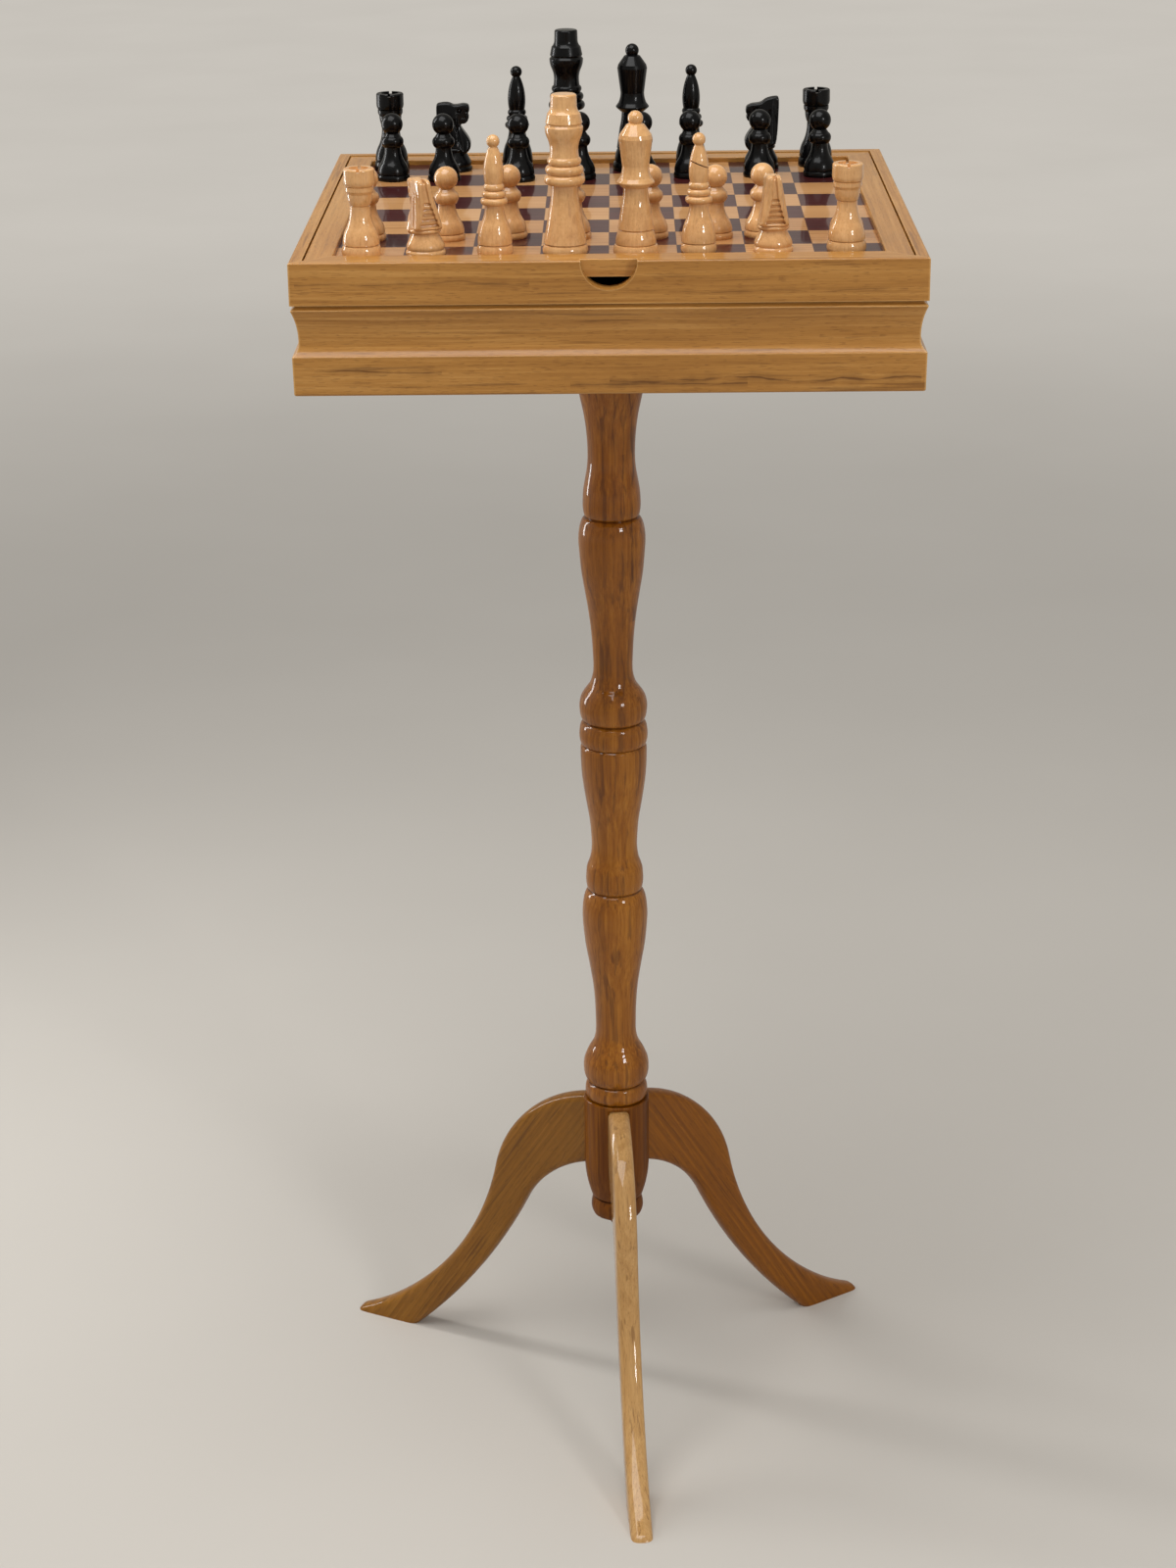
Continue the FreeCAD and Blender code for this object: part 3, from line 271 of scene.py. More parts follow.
def make_dirt_and_shade_line():
    """A soft dark line round a turned piece at one height: dirt and stain in a groove, and painted
    shade there.
    """
    group, have, give = new_group(
        "dirt_and_shade_line", {"Height": 0.0, "At": 0.0, "Half Width": 0.001}, ["Line"])
    off = maths(group, "ABSOLUTE", maths(group, "SUBTRACT", have["Height"], have["At"]))
    share = maths(group, "DIVIDE", off, have["Half Width"])
    connect(group, give, {"Line": fade(group, share, 0.2, 1.0, 1.0, 0.0)})
    return group


TIMBER = make_timber()
RUBBED_AND_LIT_EDGES = make_rubbed_and_lit_edges()
VEIN = make_vein()
DIRT_AND_SHADE_LINE = make_dirt_and_shade_line()


# ---------------------------------------------------------------- materials

# Tones of each wood: pale, middle, deep and streak.
HONEY = (colour(200, 148, 80), colour(174, 121, 56), colour(140, 90, 34), colour(92, 54, 20))
COLUMN_BROWN = (colour(172, 110, 30), colour(144, 84, 10), colour(108, 58, 5), colour(76, 38, 6))
# The hub's tones are darker than the column's: partly a darker turning, partly painted shade under
# the box.
HUB_SHADED_BROWN = (colour(138, 82, 4), colour(113, 61, 2), colour(86, 43, 1), colour(58, 27, 1))
LEG_LEFT = (colour(158, 106, 30), colour(134, 86, 16), colour(106, 64, 8), colour(74, 42, 8))
LEG_RIGHT = (colour(156, 94, 6), colour(132, 76, 4), colour(106, 58, 4), colour(74, 38, 4))
# The front leg's tones are lighter than the back legs' as painted light, for its face that turns up
# to the lamps.
LEG_FRONT_LIT = (colour(206, 164, 106), colour(186, 142, 86), colour(152, 108, 58), colour(112, 74, 38))
WHITE_WOOD = (colour(226, 177, 120), colour(207, 156, 100), colour(180, 128, 76), colour(146, 97, 55))

# Tones of each veneer: pale, middle and deep.
LIGHT_VENEER = (colour(206, 158, 106), colour(182, 132, 82), colour(150, 100, 58))
DARK_VENEER = (colour(86, 38, 34), colour(62, 23, 23), colour(40, 14, 15))

# lighter edge tone: partly worn lacquer, partly a painted highlight along the arris
RUBBED_AND_LIT_HONEY = colour(220, 176, 114)
# groove tone: partly dirt, partly painted shade in the creases
GROOVE_DIRT_AND_SHADE = colour(70, 34, 14)
SEAM_DIRT = colour(58, 34, 26)
BLACK_THIN, BLACK_THICK = colour(2, 2, 3), colour(8, 8, 9)
# rim tone of the black men: partly wear, partly a painted highlight
BLACK_RUBBED_AND_LIT, BLACK_DUST = colour(58, 50, 46), colour(80, 76, 72)
STEEL = (0.55, 0.55, 0.57, 1.0)
BRASS = (0.72, 0.52, 0.2, 1.0)

ALONG_X, UPRIGHT = (0, 0, 0), (0, 90, 0)    # turns that bring a piece's grain onto X
BASE_DEPTH = 0.36                           # how far plain wood lies from its pale to its deep tone


def new_material(name):
    """An empty material with its shader."""
    material = bpy.data.materials.new(name)
    material.use_nodes = True
    tree = material.node_tree
    tree.nodes.clear()
    shader = add(tree, "BsdfPrincipled")
    add(tree, "OutputMaterial", {"Surface": shader.outputs[0]})
    return material, tree, shader


def place_in_log(tree, turn, in_log):
    """Where a point lies in the log that the piece is sawn from: the pith runs along X."""
    wires = {"Vector": object_place(tree), "Location": in_log,
             "Rotation": [math.radians(angle) for angle in turn]}
    return add(tree, "Mapping", wires, vector_type="POINT").outputs[0]


def draw_veins(tree, tint, tone, here, axes, veins, first_seed):
    """Draws dark veins: middle line, wander, half width, start, end and strength of each."""
    for number, (middle, wander, half_width, start, end, strength) in enumerate(veins):
        line = use(tree, VEIN, {
            "Along": here[axes[0]], "Across": here[axes[1]], "Middle": middle, "Wander": wander,
            "Half Width": half_width, "Start": start, "End": end,
            "Seed": 1.7 * number + first_seed})["Vein"]
        tint = stain(tree, tint, line, strength, tone)
    return tint


def draw_grooves(tree, tint, here, grooves):
    """Darkens grooves with dirt and painted shade: height, half width and strength of each."""
    for level, half_width, strength in grooves:
        wires = {"Height": here["Z"], "At": level, "Half Width": half_width}
        tint = stain(tree, tint, use(tree, DIRT_AND_SHADE_LINE, wires)["Line"], strength, GROOVE_DIRT_AND_SHADE)
    return tint


def lacquered_wood(name, tones, turn, in_log, ring_width=0.0045, sway=0.005, fineness=1.0,
                   streak_start=0.6, ring_share=0.24, fibre_share=0.8, cloud_share=0.7,
                   streak_share=0.5, pore_share=0.3, mottle=0.0, veins=(), vein_axes="XZ",
                   grooves=(), edge_width=0.0, gloss=1.0, coat_roughness=0.05, bump=0.1):
    """Clear-lacquered wood, sawn from its own place in the log."""
    material, tree, shader = new_material(name)
    pale, middle, deep, streak = tones
    wood = use(tree, TIMBER, {
        "Position": place_in_log(tree, turn, in_log), "Ring Width": ring_width, "Sway": sway,
        "Fineness": fineness, "Streak Start": streak_start})

    depth = times(tree, wood["Rings"], ring_share)
    depth = add_share(tree, depth, centred(tree, wood["Fibres"]), fibre_share)
    depth = add_share(tree, depth, centred(tree, wood["Clouds"]), cloud_share)
    if mottle:
        blotches = noise(tree, object_place(tree), 190.0, 4.0, 0.7)["Fac"]
        depth = add_share(tree, depth, centred(tree, blotches), mottle)
    depth = maths(tree, "ADD", depth, BASE_DEPTH, clamp=True)

    tint = ramp(tree, depth, [(0.0, pale), (0.45, middle), (1.0, deep)])
    tint = stain(tree, tint, wood["Streaks"], streak_share, streak)
    tint = stain(tree, tint, wood["Pores"], pore_share, streak)
    if veins or grooves:
        here = split(tree, object_place(tree))
        tint = draw_veins(tree, tint, streak, here, vein_axes, veins, in_log[0])
        tint = draw_grooves(tree, tint, here, grooves)
    if edge_width:
        # Sharp edges get a lighter tone: partly wear, partly a painted highlight.
        edge = use(tree, RUBBED_AND_LIT_EDGES, {"Width": edge_width})["Edge"]
        tint = stain(tree, tint, edge, 0.55, RUBBED_AND_LIT_HONEY)

    raised = maths(tree, "SUBTRACT", wood["Fibres"], times(tree, wood["Pores"], 0.6))
    connect(tree, shader, {
        "Base Color": tint, "Roughness": add_share(tree, 0.42, wood["Fibres"], 0.2),
        "Normal": relief(tree, raised, bump), "Specular IOR Level": 0.1,
        "Coat Weight": gloss, "Coat Roughness": coat_roughness})
    return material


def raw_wood(name, in_log):
    """Pale wood under a thin coat, for what is out of sight."""
    return lacquered_wood(name, WHITE_WOOD, ALONG_X, in_log, gloss=0.15, coat_roughness=0.3)


def column_wood(name, tones, in_log, grooves, veins, gloss):
    """Turned stock with strong fibres and a high shine."""
    return lacquered_wood(name, tones, UPRIGHT, in_log, ring_width=0.0066, streak_start=0.56,
                          fibre_share=1.6, cloud_share=1.25, streak_share=0.45, pore_share=0.15,
                          veins=veins, vein_axes="ZX", grooves=grooves, gloss=gloss,
                          coat_roughness=0.035)


def white_man_wood(name, in_log):
    """Pale, fine wood with small blotches under the lacquer."""
    return lacquered_wood(name, WHITE_WOOD, UPRIGHT, in_log, ring_width=0.0026, sway=0.003,
                          fineness=1.3, streak_start=0.64, ring_share=0.14, fibre_share=0.55,
                          cloud_share=0.9, streak_share=0.3, pore_share=0.25, mottle=1.1,
                          coat_roughness=0.045, bump=0.06)


def veneer(name, tones, seed):
    """Knife-cut veneer squares laid one by one: each has its own tone and its own bit of grain."""
    material, tree, shader = new_material(name)
    pale, middle, deep = tones
    here = object_place(tree)
    in_squares = vector_maths(tree, "DIVIDE", here, (SQUARE, SQUARE, 1.0))
    cell = vector_maths(tree, "FLOOR", in_squares)
    own = add(tree, "TexWhiteNoise", {"Vector": cell}, noise_dimensions="3D").outputs
    own_place = vector_maths(tree, "MULTIPLY", own["Color"], (3.0, 0.4, 0.1))
    in_log = vector_maths(tree, "ADD", here, own_place)
    in_log = vector_maths(tree, "ADD", in_log, (seed, 0.06, -0.72))
    wood = use(tree, TIMBER, {"Position": in_log, "Ring Width": 0.0035, "Sway": 0.008,
                              "Fineness": 1.1, "Streak Start": 0.7})

    depth = times(tree, wood["Rings"], 0.4)
    depth = add_share(tree, depth, wood["Fibres"], 0.35)
    depth = add_share(tree, depth, own["Value"], 0.35, clamp=True)
    tint = ramp(tree, depth, [(0.0, pale), (0.5, middle), (1.0, deep)])

    # The seams: from a square's middle its edges lie at 0.5, whichever way.
    from_middle = vector_maths(tree, "FRACTION", in_squares)
    from_middle = vector_maths(tree, "SUBTRACT", from_middle, (0.5, 0.5, 0.5))
    parts = split(tree, vector_maths(tree, "ABSOLUTE", from_middle))
    seam = fade(tree, maths(tree, "MAXIMUM", parts["X"], parts["Y"]), 0.4915, 0.4985)
    connect(tree, shader, {
        "Base Color": stain(tree, tint, seam, 0.55, SEAM_DIRT),
        "Roughness": add_share(tree, 0.3, wood["Fibres"], 0.15),
        "Normal": relief(tree, wood["Fibres"], 0.08), "Specular IOR Level": 0.05,
        "Coat Weight": 0.5, "Coat Roughness": 0.045})
    return material


def black_lacquer():
    """Black lacquer on wood, brushed a little unevenly, with a lighter tone on the rims that is
    partly wear and partly a painted highlight.
    """
    material, tree, shader = new_material("black_man_lacquer")
    here = object_place(tree)
    flow = noise(tree, here, 160.0)["Fac"]
    specks = fade(tree, noise(tree, here, 2600.0, 0.0)["Fac"], 0.74, 0.8)
    edge = use(tree, RUBBED_AND_LIT_EDGES, {"Width": 0.0004})["Edge"]
    tint = mix(tree, flow, BLACK_THIN, BLACK_THICK)
    # The rims get a lighter tone: partly wear, partly a painted highlight.
    tint = stain(tree, tint, edge, 0.2, BLACK_RUBBED_AND_LIT)
    tint = stain(tree, tint, specks, 0.12, BLACK_DUST)
    connect(tree, shader, {
        "Base Color": tint, "Roughness": add_share(tree, 0.22, flow, 0.16),
        "Normal": relief(tree, flow, 0.2, 0.0003), "Specular IOR Level": 0.1,
        "Coat Weight": 0.2, "Coat Roughness": 0.06})
    return material


def metal(name, tint, roughness):
    """Turned metal with fine marks and a duller film in patches."""
    material, tree, shader = new_material(name)
    here = object_place(tree)
    marks = vector_maths(tree, "MULTIPLY", here, (400.0, 400.0, 6000.0))
    marks = noise(tree, marks, 1.0)["Fac"]
    film = noise(tree, here, 220.0)["Fac"]
    dull = tuple(part * 0.55 for part in tint[:3]) + (1.0,)
    connect(tree, shader, {
        "Base Color": mix(tree, fade(tree, film, 0.4, 0.7), tint, dull),
        "Roughness": add_share(tree, roughness, marks, 0.2), "Metallic": 1.0})
    return material


# ---------------------------------------------------------------- box, board and hidden parts

# The turn about the upright axis that brings the grain of each side onto X, and the axes along and
# across its veins.
SIDES = {"front": (0, "XZ"), "back": (0, "XZ"), "left": (90, "YZ"), "right": (90, "YZ")}

# Dark veins of the four walls: middle height, wander, half width, start, end and strength.
WALL_VEINS = {
    "front": [(0.6785, 0.0030, 0.0009, 0.000, 0.158, 0.85),
              (0.6840, 0.0022, 0.0006, -0.150, -0.085, 0.8),
              (0.6765, 0.0016, 0.0006, -0.020, 0.070, 0.7),
              (0.7290, 0.0020, 0.0005, -0.158, -0.040, 0.55),
              (0.7240, 0.0014, 0.0005, 0.030, 0.150, 0.5)],
    "back": [(0.7000, 0.0040, 0.0008, -0.150, 0.060, 0.7),
             (0.6780, 0.0020, 0.0006, 0.010, 0.150, 0.7)],
    "left": [(0.7260, 0.0024, 0.0007, -0.120, 0.100, 0.6),
             (0.6790, 0.0020, 0.0007, -0.060, 0.150, 0.8)],
    "right": [(0.7060, 0.0036, 0.0007, -0.150, 0.020, 0.6),
              (0.6770, 0.0020, 0.0007, -0.100, 0.080, 0.8)],
}


def dress(node, material):
    """Gives a CAD node its material."""
    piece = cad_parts[node]
    if not piece.data.materials:
        piece.data.materials.append(material)
    for slot in piece.material_slots:
        slot.material = material


def dress_box():
    """Walls and lid rails, each sawn from its own place in the log."""
    for number, (side, (turn, axes)) in enumerate(SIDES.items()):
        in_log = (0.37 * number, 0.055 + 0.01 * number, -0.66 + 0.013 * number)
        wall = lacquered_wood(f"wall_{side}_honey", HONEY, (0, 0, turn), in_log, fibre_share=1.15,
                              streak_share=0.42, veins=WALL_VEINS[side], vein_axes=axes,
                              edge_width=0.0012, gloss=0.6, coat_roughness=0.16)
        dress(f"wall_{side}", wall)
        in_log = (0.53 * number + 0.2, 0.02, -0.70 - 0.01 * number)
        rail = lacquered_wood(f"rail_{side}_honey", HONEY, (0, 0, turn), in_log, ring_share=0.14,
                              streak_share=0.2, edge_width=0.0008, gloss=0.6, coat_roughness=0.12)
        dress(f"lid_rail_{side}", rail)


def dress_board():
    """The two veneers, and the panels under the board and under the box."""
    dress("light_squares", veneer("light_veneer_lacquered", LIGHT_VENEER, 0.4))
    dress("dark_squares", veneer("dark_veneer_lacquered", DARK_VENEER, 2.1))
    panel = raw_wood("panel_raw_wood", (0.2, 0.03, -0.69))
    dress("board_core", panel)
    dress("box_bottom", panel)


def dress_hidden():
    """The disc, the dowels and all the metal."""
    dress("mounting_disc", raw_wood("disc_raw_wood", (0.6, 0.05, -0.60)))
    dress("leg_dowels", raw_wood("dowel_raw_wood", (0.9, 0.05, -0.10)))
    steel = metal("bright_steel", STEEL, 0.25)
    for name in ("disc_screws", "top_stud", "middle_stud", "bottom_stud"):
        dress(name, steel)
    brass = metal("plain_brass", BRASS, 0.28)
    for name in ("disc_insert", "column_insert", "hub_insert"):
        dress(name, brass)


# ---------------------------------------------------------------- shaping helpers

def add_rings(shape, rings):
    """Skins closed rings of points, each with as many points as the next, and caps both ends."""
    rows = [[shape.verts.new(point) for point in ring] for ring in rings]
    for low, high in zip(rows, rows[1:]):
        for number in range(len(low)):
            after = (number + 1) % len(low)
            shape.faces.new((low[number], low[after], high[after], high[number]))
    shape.faces.new(list(reversed(rows[0])))
    shape.faces.new(rows[-1])


def turned_rings(line, steps):
    """Spins (height, radius) points about the upright axis, a ring of points to each."""
    turns = [math.tau * step / steps for step in range(steps)]
    return [[(radius * math.cos(turn), radius * math.sin(turn), height) for turn in turns]
            for height, radius in line]


def settle_faces(shape):
    """Cuts the caps into triangles and turns every face outwards."""
    bmesh.ops.triangulate(shape, faces=[face for face in shape.faces if len(face.verts) > 4])
    bmesh.ops.recalc_face_normals(shape, faces=shape.faces)


def new_object(name, data):
    """Puts a mesh, a lamp or a camera into the scene as an object of its own."""
    made = bpy.data.objects.new(name, data)
    bpy.context.scene.collection.objects.link(made)
    return made


def add_piece(name, shape, finish, body, node, laid=AS_DRAWN, place=(0, 0, 0), turn=0.0):
    """Puts a shape in millimetres into the scene in place of its node; the shape itself is kept.

    laid turns the mesh about the table's origin; place and turn are those of the piece's own
    origin, from which its grain is measured.
    """
    mesh = bpy.data.meshes.new(name)
    shape.to_mesh(mesh)
    mesh.transform(laid @ Matrix.Scale(MM, 4))
    mesh.shade_smooth()
    mesh.set_sharp_from_angle(angle=math.radians(SHARP_ANGLE))
    mesh.materials.append(finish)
    piece = new_object(name, mesh)
    piece.location = place
    piece.rotation_euler = (0, 0, math.radians(turn))
    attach(piece, body)
    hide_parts(node)


# ---------------------------------------------------------------- column

# The turned outlines, height from the floor and radius. Each list is one run of the gouge, and two
# runs meet in a V groove.
TURNINGS = {
    "column_lower": [
        [(194.5, 16.9), (195.7, 18.1), (198.4, 18.8), (201.6, 18.7), (204.3, 17.9), (205.8, 16.4)],
        [(205.8, 16.4), (207.1, 18.0), (210.5, 19.3), (215.5, 19.75), (220.5, 19.1), (226.5, 16.6),
         (232.5, 13.4), (238.5, 12.2), (246.5, 12.15), (256.0, 12.4), (268.0, 13.3), (282.0, 15.35),
         (296.0, 17.75), (308.0, 19.0), (316.0, 19.4), (322.5, 19.0), (327.5, 18.1), (330.4, 16.9),
         (331.9, 15.5)],
        [(331.9, 15.5), (333.4, 16.4), (337.5, 17.0), (341.5, 16.9), (346.0, 16.4), (352.0, 14.4),
         (358.5, 13.5), (366.0, 13.65), (376.0, 14.5), (386.5, 16.2), (396.0, 17.7), (404.0, 18.7),
         (412.0, 19.25), (419.0, 19.4), (422.2, 19.2), (423.5, 18.3)],
    ],
    "column_upper": [
        [(423.5, 18.1), (424.8, 19.2), (428.2, 19.9), (432.5, 19.8), (436.4, 18.9), (438.3, 17.0)],
        [(438.3, 17.0), (439.8, 18.6), (443.5, 19.5), (448.5, 19.7), (453.5, 18.5), (457.5, 16.0),
         (461.5, 13.25), (468.5, 11.5), (480.5, 11.7), (492.5, 12.5), (504.5, 13.9), (516.5, 15.8),
         (528.5, 17.7), (540.5, 18.8), (547.5, 19.2), (553.5, 18.8), (557.8, 17.8), (560.2, 16.6),
         (561.4, 15.0)],
        [(561.4, 15.0), (562.9, 15.9), (567.0, 16.5), (571.0, 16.5), (577.0, 16.1), (583.5, 15.0),
         (590.0, 13.9), (597.5, 13.45), (608.0, 13.85), (620.0, 15.3), (632.5, 17.9), (641.0, 19.45),
         (649.5, 20.0), (659.5, 20.0)],
    ],
}
COLUMN_SIDES = 96
STEPS_A_SPAN = 5                        # how finely the line is carried from one point to the next
COLUMN_GROOVE = (0.0009, 0.6)           # half width and strength of the dirt and painted shade in a groove
HUB_GROOVE = (0.1271, 0.0010, 0.7)      # height, half width and strength

# Where in the log each length is sawn from, and its dark veins: how far from the axis, wander, half
# width, start, end and strength.
COLUMN_STOCK = {
    "column_lower": ((0.6, -0.02, -0.11), [(-0.009, 0.003, 0.0008, 0.20, 0.42, 0.4)]),
    "column_upper": ((1.3, 0.015, 0.085), [(0.0115, 0.0022, 0.0009, 0.50, 0.672, 0.8),
                                           (0.006, 0.0030, 0.0009, 0.44, 0.60, 0.6),
                                           (-0.006, 0.0030, 0.0008, 0.425, 0.49, 0.6),
                                           (0.002, 0.004, 0.0008, 0.56, 0.672, 0.4)]),
}


def hermite(here, way, after, way_after, share):
    """A place on the curve that leaves here one way and reaches after the other way."""
    square, cube = share ** 2, share ** 3
    return (here * (2 * cube - 3 * square + 1) + way * (cube - 2 * square + share)
            + after * (3 * square - 2 * cube) + way_after * (cube - square))


def flowing(points):
    """Carries a smooth line through points that lie unevenly far apart."""
    points = [Vector(point) for point in points]
    spans = [(after - here).length for here, after in zip(points, points[1:])]
    ways = [(points[1] - points[0]) / spans[0]]
    for number in range(1, len(spans)):
        ways.append((points[number + 1] - points[number - 1]) / (spans[number] + spans[number - 1]))
    ways.append((points[-1] - points[-2]) / spans[-1])
    line = []
    for number, span in enumerate(spans):
        here, after = points[number], points[number + 1]
        way, way_after = ways[number] * span, ways[number + 1] * span
        line.extend(hermite(here, way, after, way_after, step / STEPS_A_SPAN)
                    for step in range(STEPS_A_SPAN))
    return line + [points[-1]]


def turn_column():
    """Turns both lengths of the column, and gives the hub its finish."""
    for name, runs in TURNINGS.items():
        in_log, veins = COLUMN_STOCK[name]
        grooves = [(run[0][0] * MM, *COLUMN_GROOVE) for run in runs]
        finish = column_wood(f"{name}_brown", COLUMN_BROWN, in_log, grooves, veins, 0.6)
        line = [point for run in runs for point in flowing(run)[:-1]] + [runs[-1][-1]]
        shape = bmesh.new()
        add_rings(shape, turned_rings(line, COLUMN_SIDES))
        add_piece(f"{name}_turned", shape, finish, "table", name)
        shape.free()
    # The hub's darker tones are partly painted shade under the box.
    dress("hub", column_wood("hub_shaded_brown", HUB_SHADED_BROWN, (0.1, 0.012, 0.10), [HUB_GROOVE], [], 0.2))


# ---------------------------------------------------------------- legs

LEG_THICKNESS = 13.0
LEG_CROWN = 5.0             # how far the long edges fall away from the middle to a cheek
LEG_FULLNESS = 2.6          # power of the crown's curve: 2 is round, more is squarer
LEG_STRIPS = 14             # strips that make up the thickness
LEG_SEAM = 0.002            # points nearer than this are one
LEG_GRAIN_FALL = 57         # how steeply the grain falls outwards
FRONT_LEG_HEADING = -85.85  # the way it points, from X round to Y

# Tones and gloss of each leg, and how far from the pith it is sawn, from the front leg round.
LEGS = {
    "leg_front": (LEG_FRONT_LIT, 0.75, (0.07, 0.02)),
    "leg_back_right": (LEG_RIGHT, 0.45, (0.012, 0.09)),
    "leg_back_left": (LEG_LEFT, 0.5, (0.012, 0.09)),
}


def arc_to(path, end, heading=None, radius=None, steps=24):
    """Adds an arc to a path and returns the way it heads at its end.

    The arc starts the way the path heads, or, given a radius, turns to the right round it.
    """
    end = Vector(end)
    run = end - path[-1]
    if heading is None:
        right = Vector((run.y, -run.x)).normalized()
        centre = path[-1] + run / 2 + right * math.sqrt(radius ** 2 - run.length_squared / 4)
    else:
        left = Vector((-heading.y, heading.x))
        centre = path[-1] + left * run.length_squared / (2 * left.dot(run))
    spoke, last = path[-1] - centre, end - centre
    turn = math.atan2(spoke.x * last.y - spoke.y * last.x, spoke.dot(last))
    path.extend(centre + Matrix.Rotation(turn * step / steps, 2) @ spoke
                for step in range(1, steps + 1))
    return Vector((-last.y, last.x)).normalized() * math.copysign(1.0, turn)


def leg_edges():
    """The sawn upper and lower edges of a leg, outwards and up.

    The upper runs from the seat over the knee and down the ankle to the toe, and the lower from
    the heel up the hollow to the seat.
    """
    upper = [Vector((18.0, 192.5))]
    heading = arc_to(upper, (83.4, 130.3), radius=79.7)
    heading = arc_to(upper, (125.8, 46.7), heading)
    heading = arc_to(upper, (160.0, 16.5), heading, steps=12)
    heading = arc_to(upper, (184.0, 3.2), heading, steps=8)
    arc_to(upper, (187.5, 0.0), heading, steps=8)
    lower = [Vector((143.0, 0.0))]
    heading = arc_to(lower, (62.6, 108.7), radius=376.0)
    arc_to(lower, (18.0, 146.0), heading)
    return upper, lower


def planed(edge, depth, first_way, last_way):
    """An edge moved into the wood by a depth; its two ends slide along the seat or the sole."""
    moved = []
    for number, here in enumerate(edge):
        run = edge[min(number + 1, len(edge) - 1)] - edge[max(number - 1, 0)]
        inwards = Vector((run.y, -run.x)).normalized()
        if number == 0:
            moved.append(here + first_way * (depth / inwards.dot(first_way)))
        elif number == len(edge) - 1:
            moved.append(here + last_way * (depth / inwards.dot(last_way)))
        else:
            moved.append(here + inwards * depth)
    return moved


def cut_at_floor(edge):
    """Ends an edge where it first meets the floor; its number of points stays the same."""
    under = next((number for number, here in enumerate(edge) if here.y < 0.0), None)
    if under is None:
        return edge
    before, after = edge[under - 1], edge[under]
    meeting = before.lerp(after, before.y / (before.y - after.y))
    return edge[:under] + [meeting] * (len(edge) - under)


def shape_leg():
    """A leg lying in the XZ plane: the side outline, crowned and rounded over to both cheeks."""
    upper, lower = leg_edges()
    rings = []
    for step in range(LEG_STRIPS + 1):
        across = math.sin(math.pi * (step / LEG_STRIPS - 0.5))
        rise = max(0.0, 1 - abs(across) ** LEG_FULLNESS) ** (1 / LEG_FULLNESS)
        depth = LEG_CROWN * (1 - rise)
        ring = (cut_at_floor(planed(upper, depth, Vector((0, -1)), Vector((-1, 0))))
                + planed(lower, depth, Vector((1, 0)), Vector((0, 1))))
        rings.append([(out, across * LEG_THICKNESS / 2, up) for out, up in ring])
    shape = bmesh.new()
    add_rings(shape, rings)
    bmesh.ops.remove_doubles(shape, verts=shape.verts, dist=LEG_SEAM)
    settle_faces(shape)
    return shape


def stand_legs():
    """Three legs from one shape, a third of a turn apart, each with its grain falling outwards."""
    shape = shape_leg()
    for number, (name, (tones, gloss, from_pith)) in enumerate(LEGS.items()):
        heading = FRONT_LEG_HEADING + number * 360 / len(LEGS)
        laid = Matrix.Rotation(math.radians(heading), 4, "Z")
        grain = Matrix.Rotation(math.radians(-LEG_GRAIN_FALL), 4, "Y") @ laid.inverted()
        turn = [math.degrees(angle) for angle in grain.to_euler()]
        finish = lacquered_wood(f"{name}_lacquered", tones, turn, (0.3 * number, *from_pith),
                                fibre_share=1.2, gloss=gloss)
        add_piece(f"{name}_shaped", shape, finish, "table", name, laid)
    shape.free()


# ---------------------------------------------------------------- knights

# How far each knight is turned, how far its head leans sideways by the top of the ears, and how far
# its muzzle is dropped.
KNIGHTS = {"white_knight_b": (112, 3.0, 0.0), "white_knight_g": (96, 0.9, 0.4),
           "black_knight_b": (2, 0.0, -0.2), "black_knight_g": (180, 0.4, 2.2)}

# Side outline of the head, forward and up, from the foot round the chest, muzzle and back.
HEAD_SIDE = [
    (5.2, 9.6), (7.2, 10.5), (9.2, 12.8), (9.9, 15.2), (9.4, 17.6), (7.9, 20.2), (6.0, 22.8),
    (4.5, 25.0), (3.9, 26.4), (4.6, 27.2), (6.6, 27.2), (7.9, 28.2), (8.9, 30.2), (9.0, 31.8),
    (8.4, 32.9), (9.3, 34.4), (9.3, 36.4), (8.7, 38.0), (5.8, 38.6), (3.2, 38.1), (0.8, 37.9),
    (-0.6, 38.3), (-2.0, 39.1), (-4.2, 39.5), (-7.4, 39.3), (-9.6, 38.7), (-10.0, 36.6),
    (-9.9, 31.0), (-9.5, 24.0), (-9.2, 20.0), (-8.8, 16.4), (-8.0, 13.7), (-4.0, 12.9),
    (1.0, 12.3), (3.6, 11.2)]
# Half width of the head at each height, and the share taken off it at the muzzle, and down the chest
# and at the mane.
HEAD_HALF_WIDTH = [
    (9.0, 7.0), (10.5, 7.5), (13.0, 7.75), (15.6, 7.1), (17.0, 6.7), (19.0, 6.1), (23.0, 4.95),
    (26.0, 4.5), (30.0, 4.3), (37.0, 4.0), (40.0, 3.4)]
MUZZLE_NARROWER, CHEST_NARROWER, MANE_NARROWER = 0.16, 0.12, 0.12
# How the sawn head is rounded over: share of its half width, and depth taken off its outline there.
HEAD_ROUNDING = [(0.75, 0.0), (0.9, 0.25), (0.97, 0.7), (1.0, 1.3)]
# Half width and floor of the hollow that runs down the mane, and the heights it is cut through.
MANE_HALF_WIDTH = [(13.0, 5.4), (20.0, 3.3), (27.0, 1.7), (34.0, 1.1), (41.0, 0.9)]
MANE_FLOOR = [(13.0, -6.6), (17.0, -7.5), (24.0, -8.2), (31.0, -8.5), (41.0, -8.2)]
MANE_HEIGHTS = (14.2, 17.0, 20.0, 24.0, 27.0, 31.0, 36.0, 41.0)
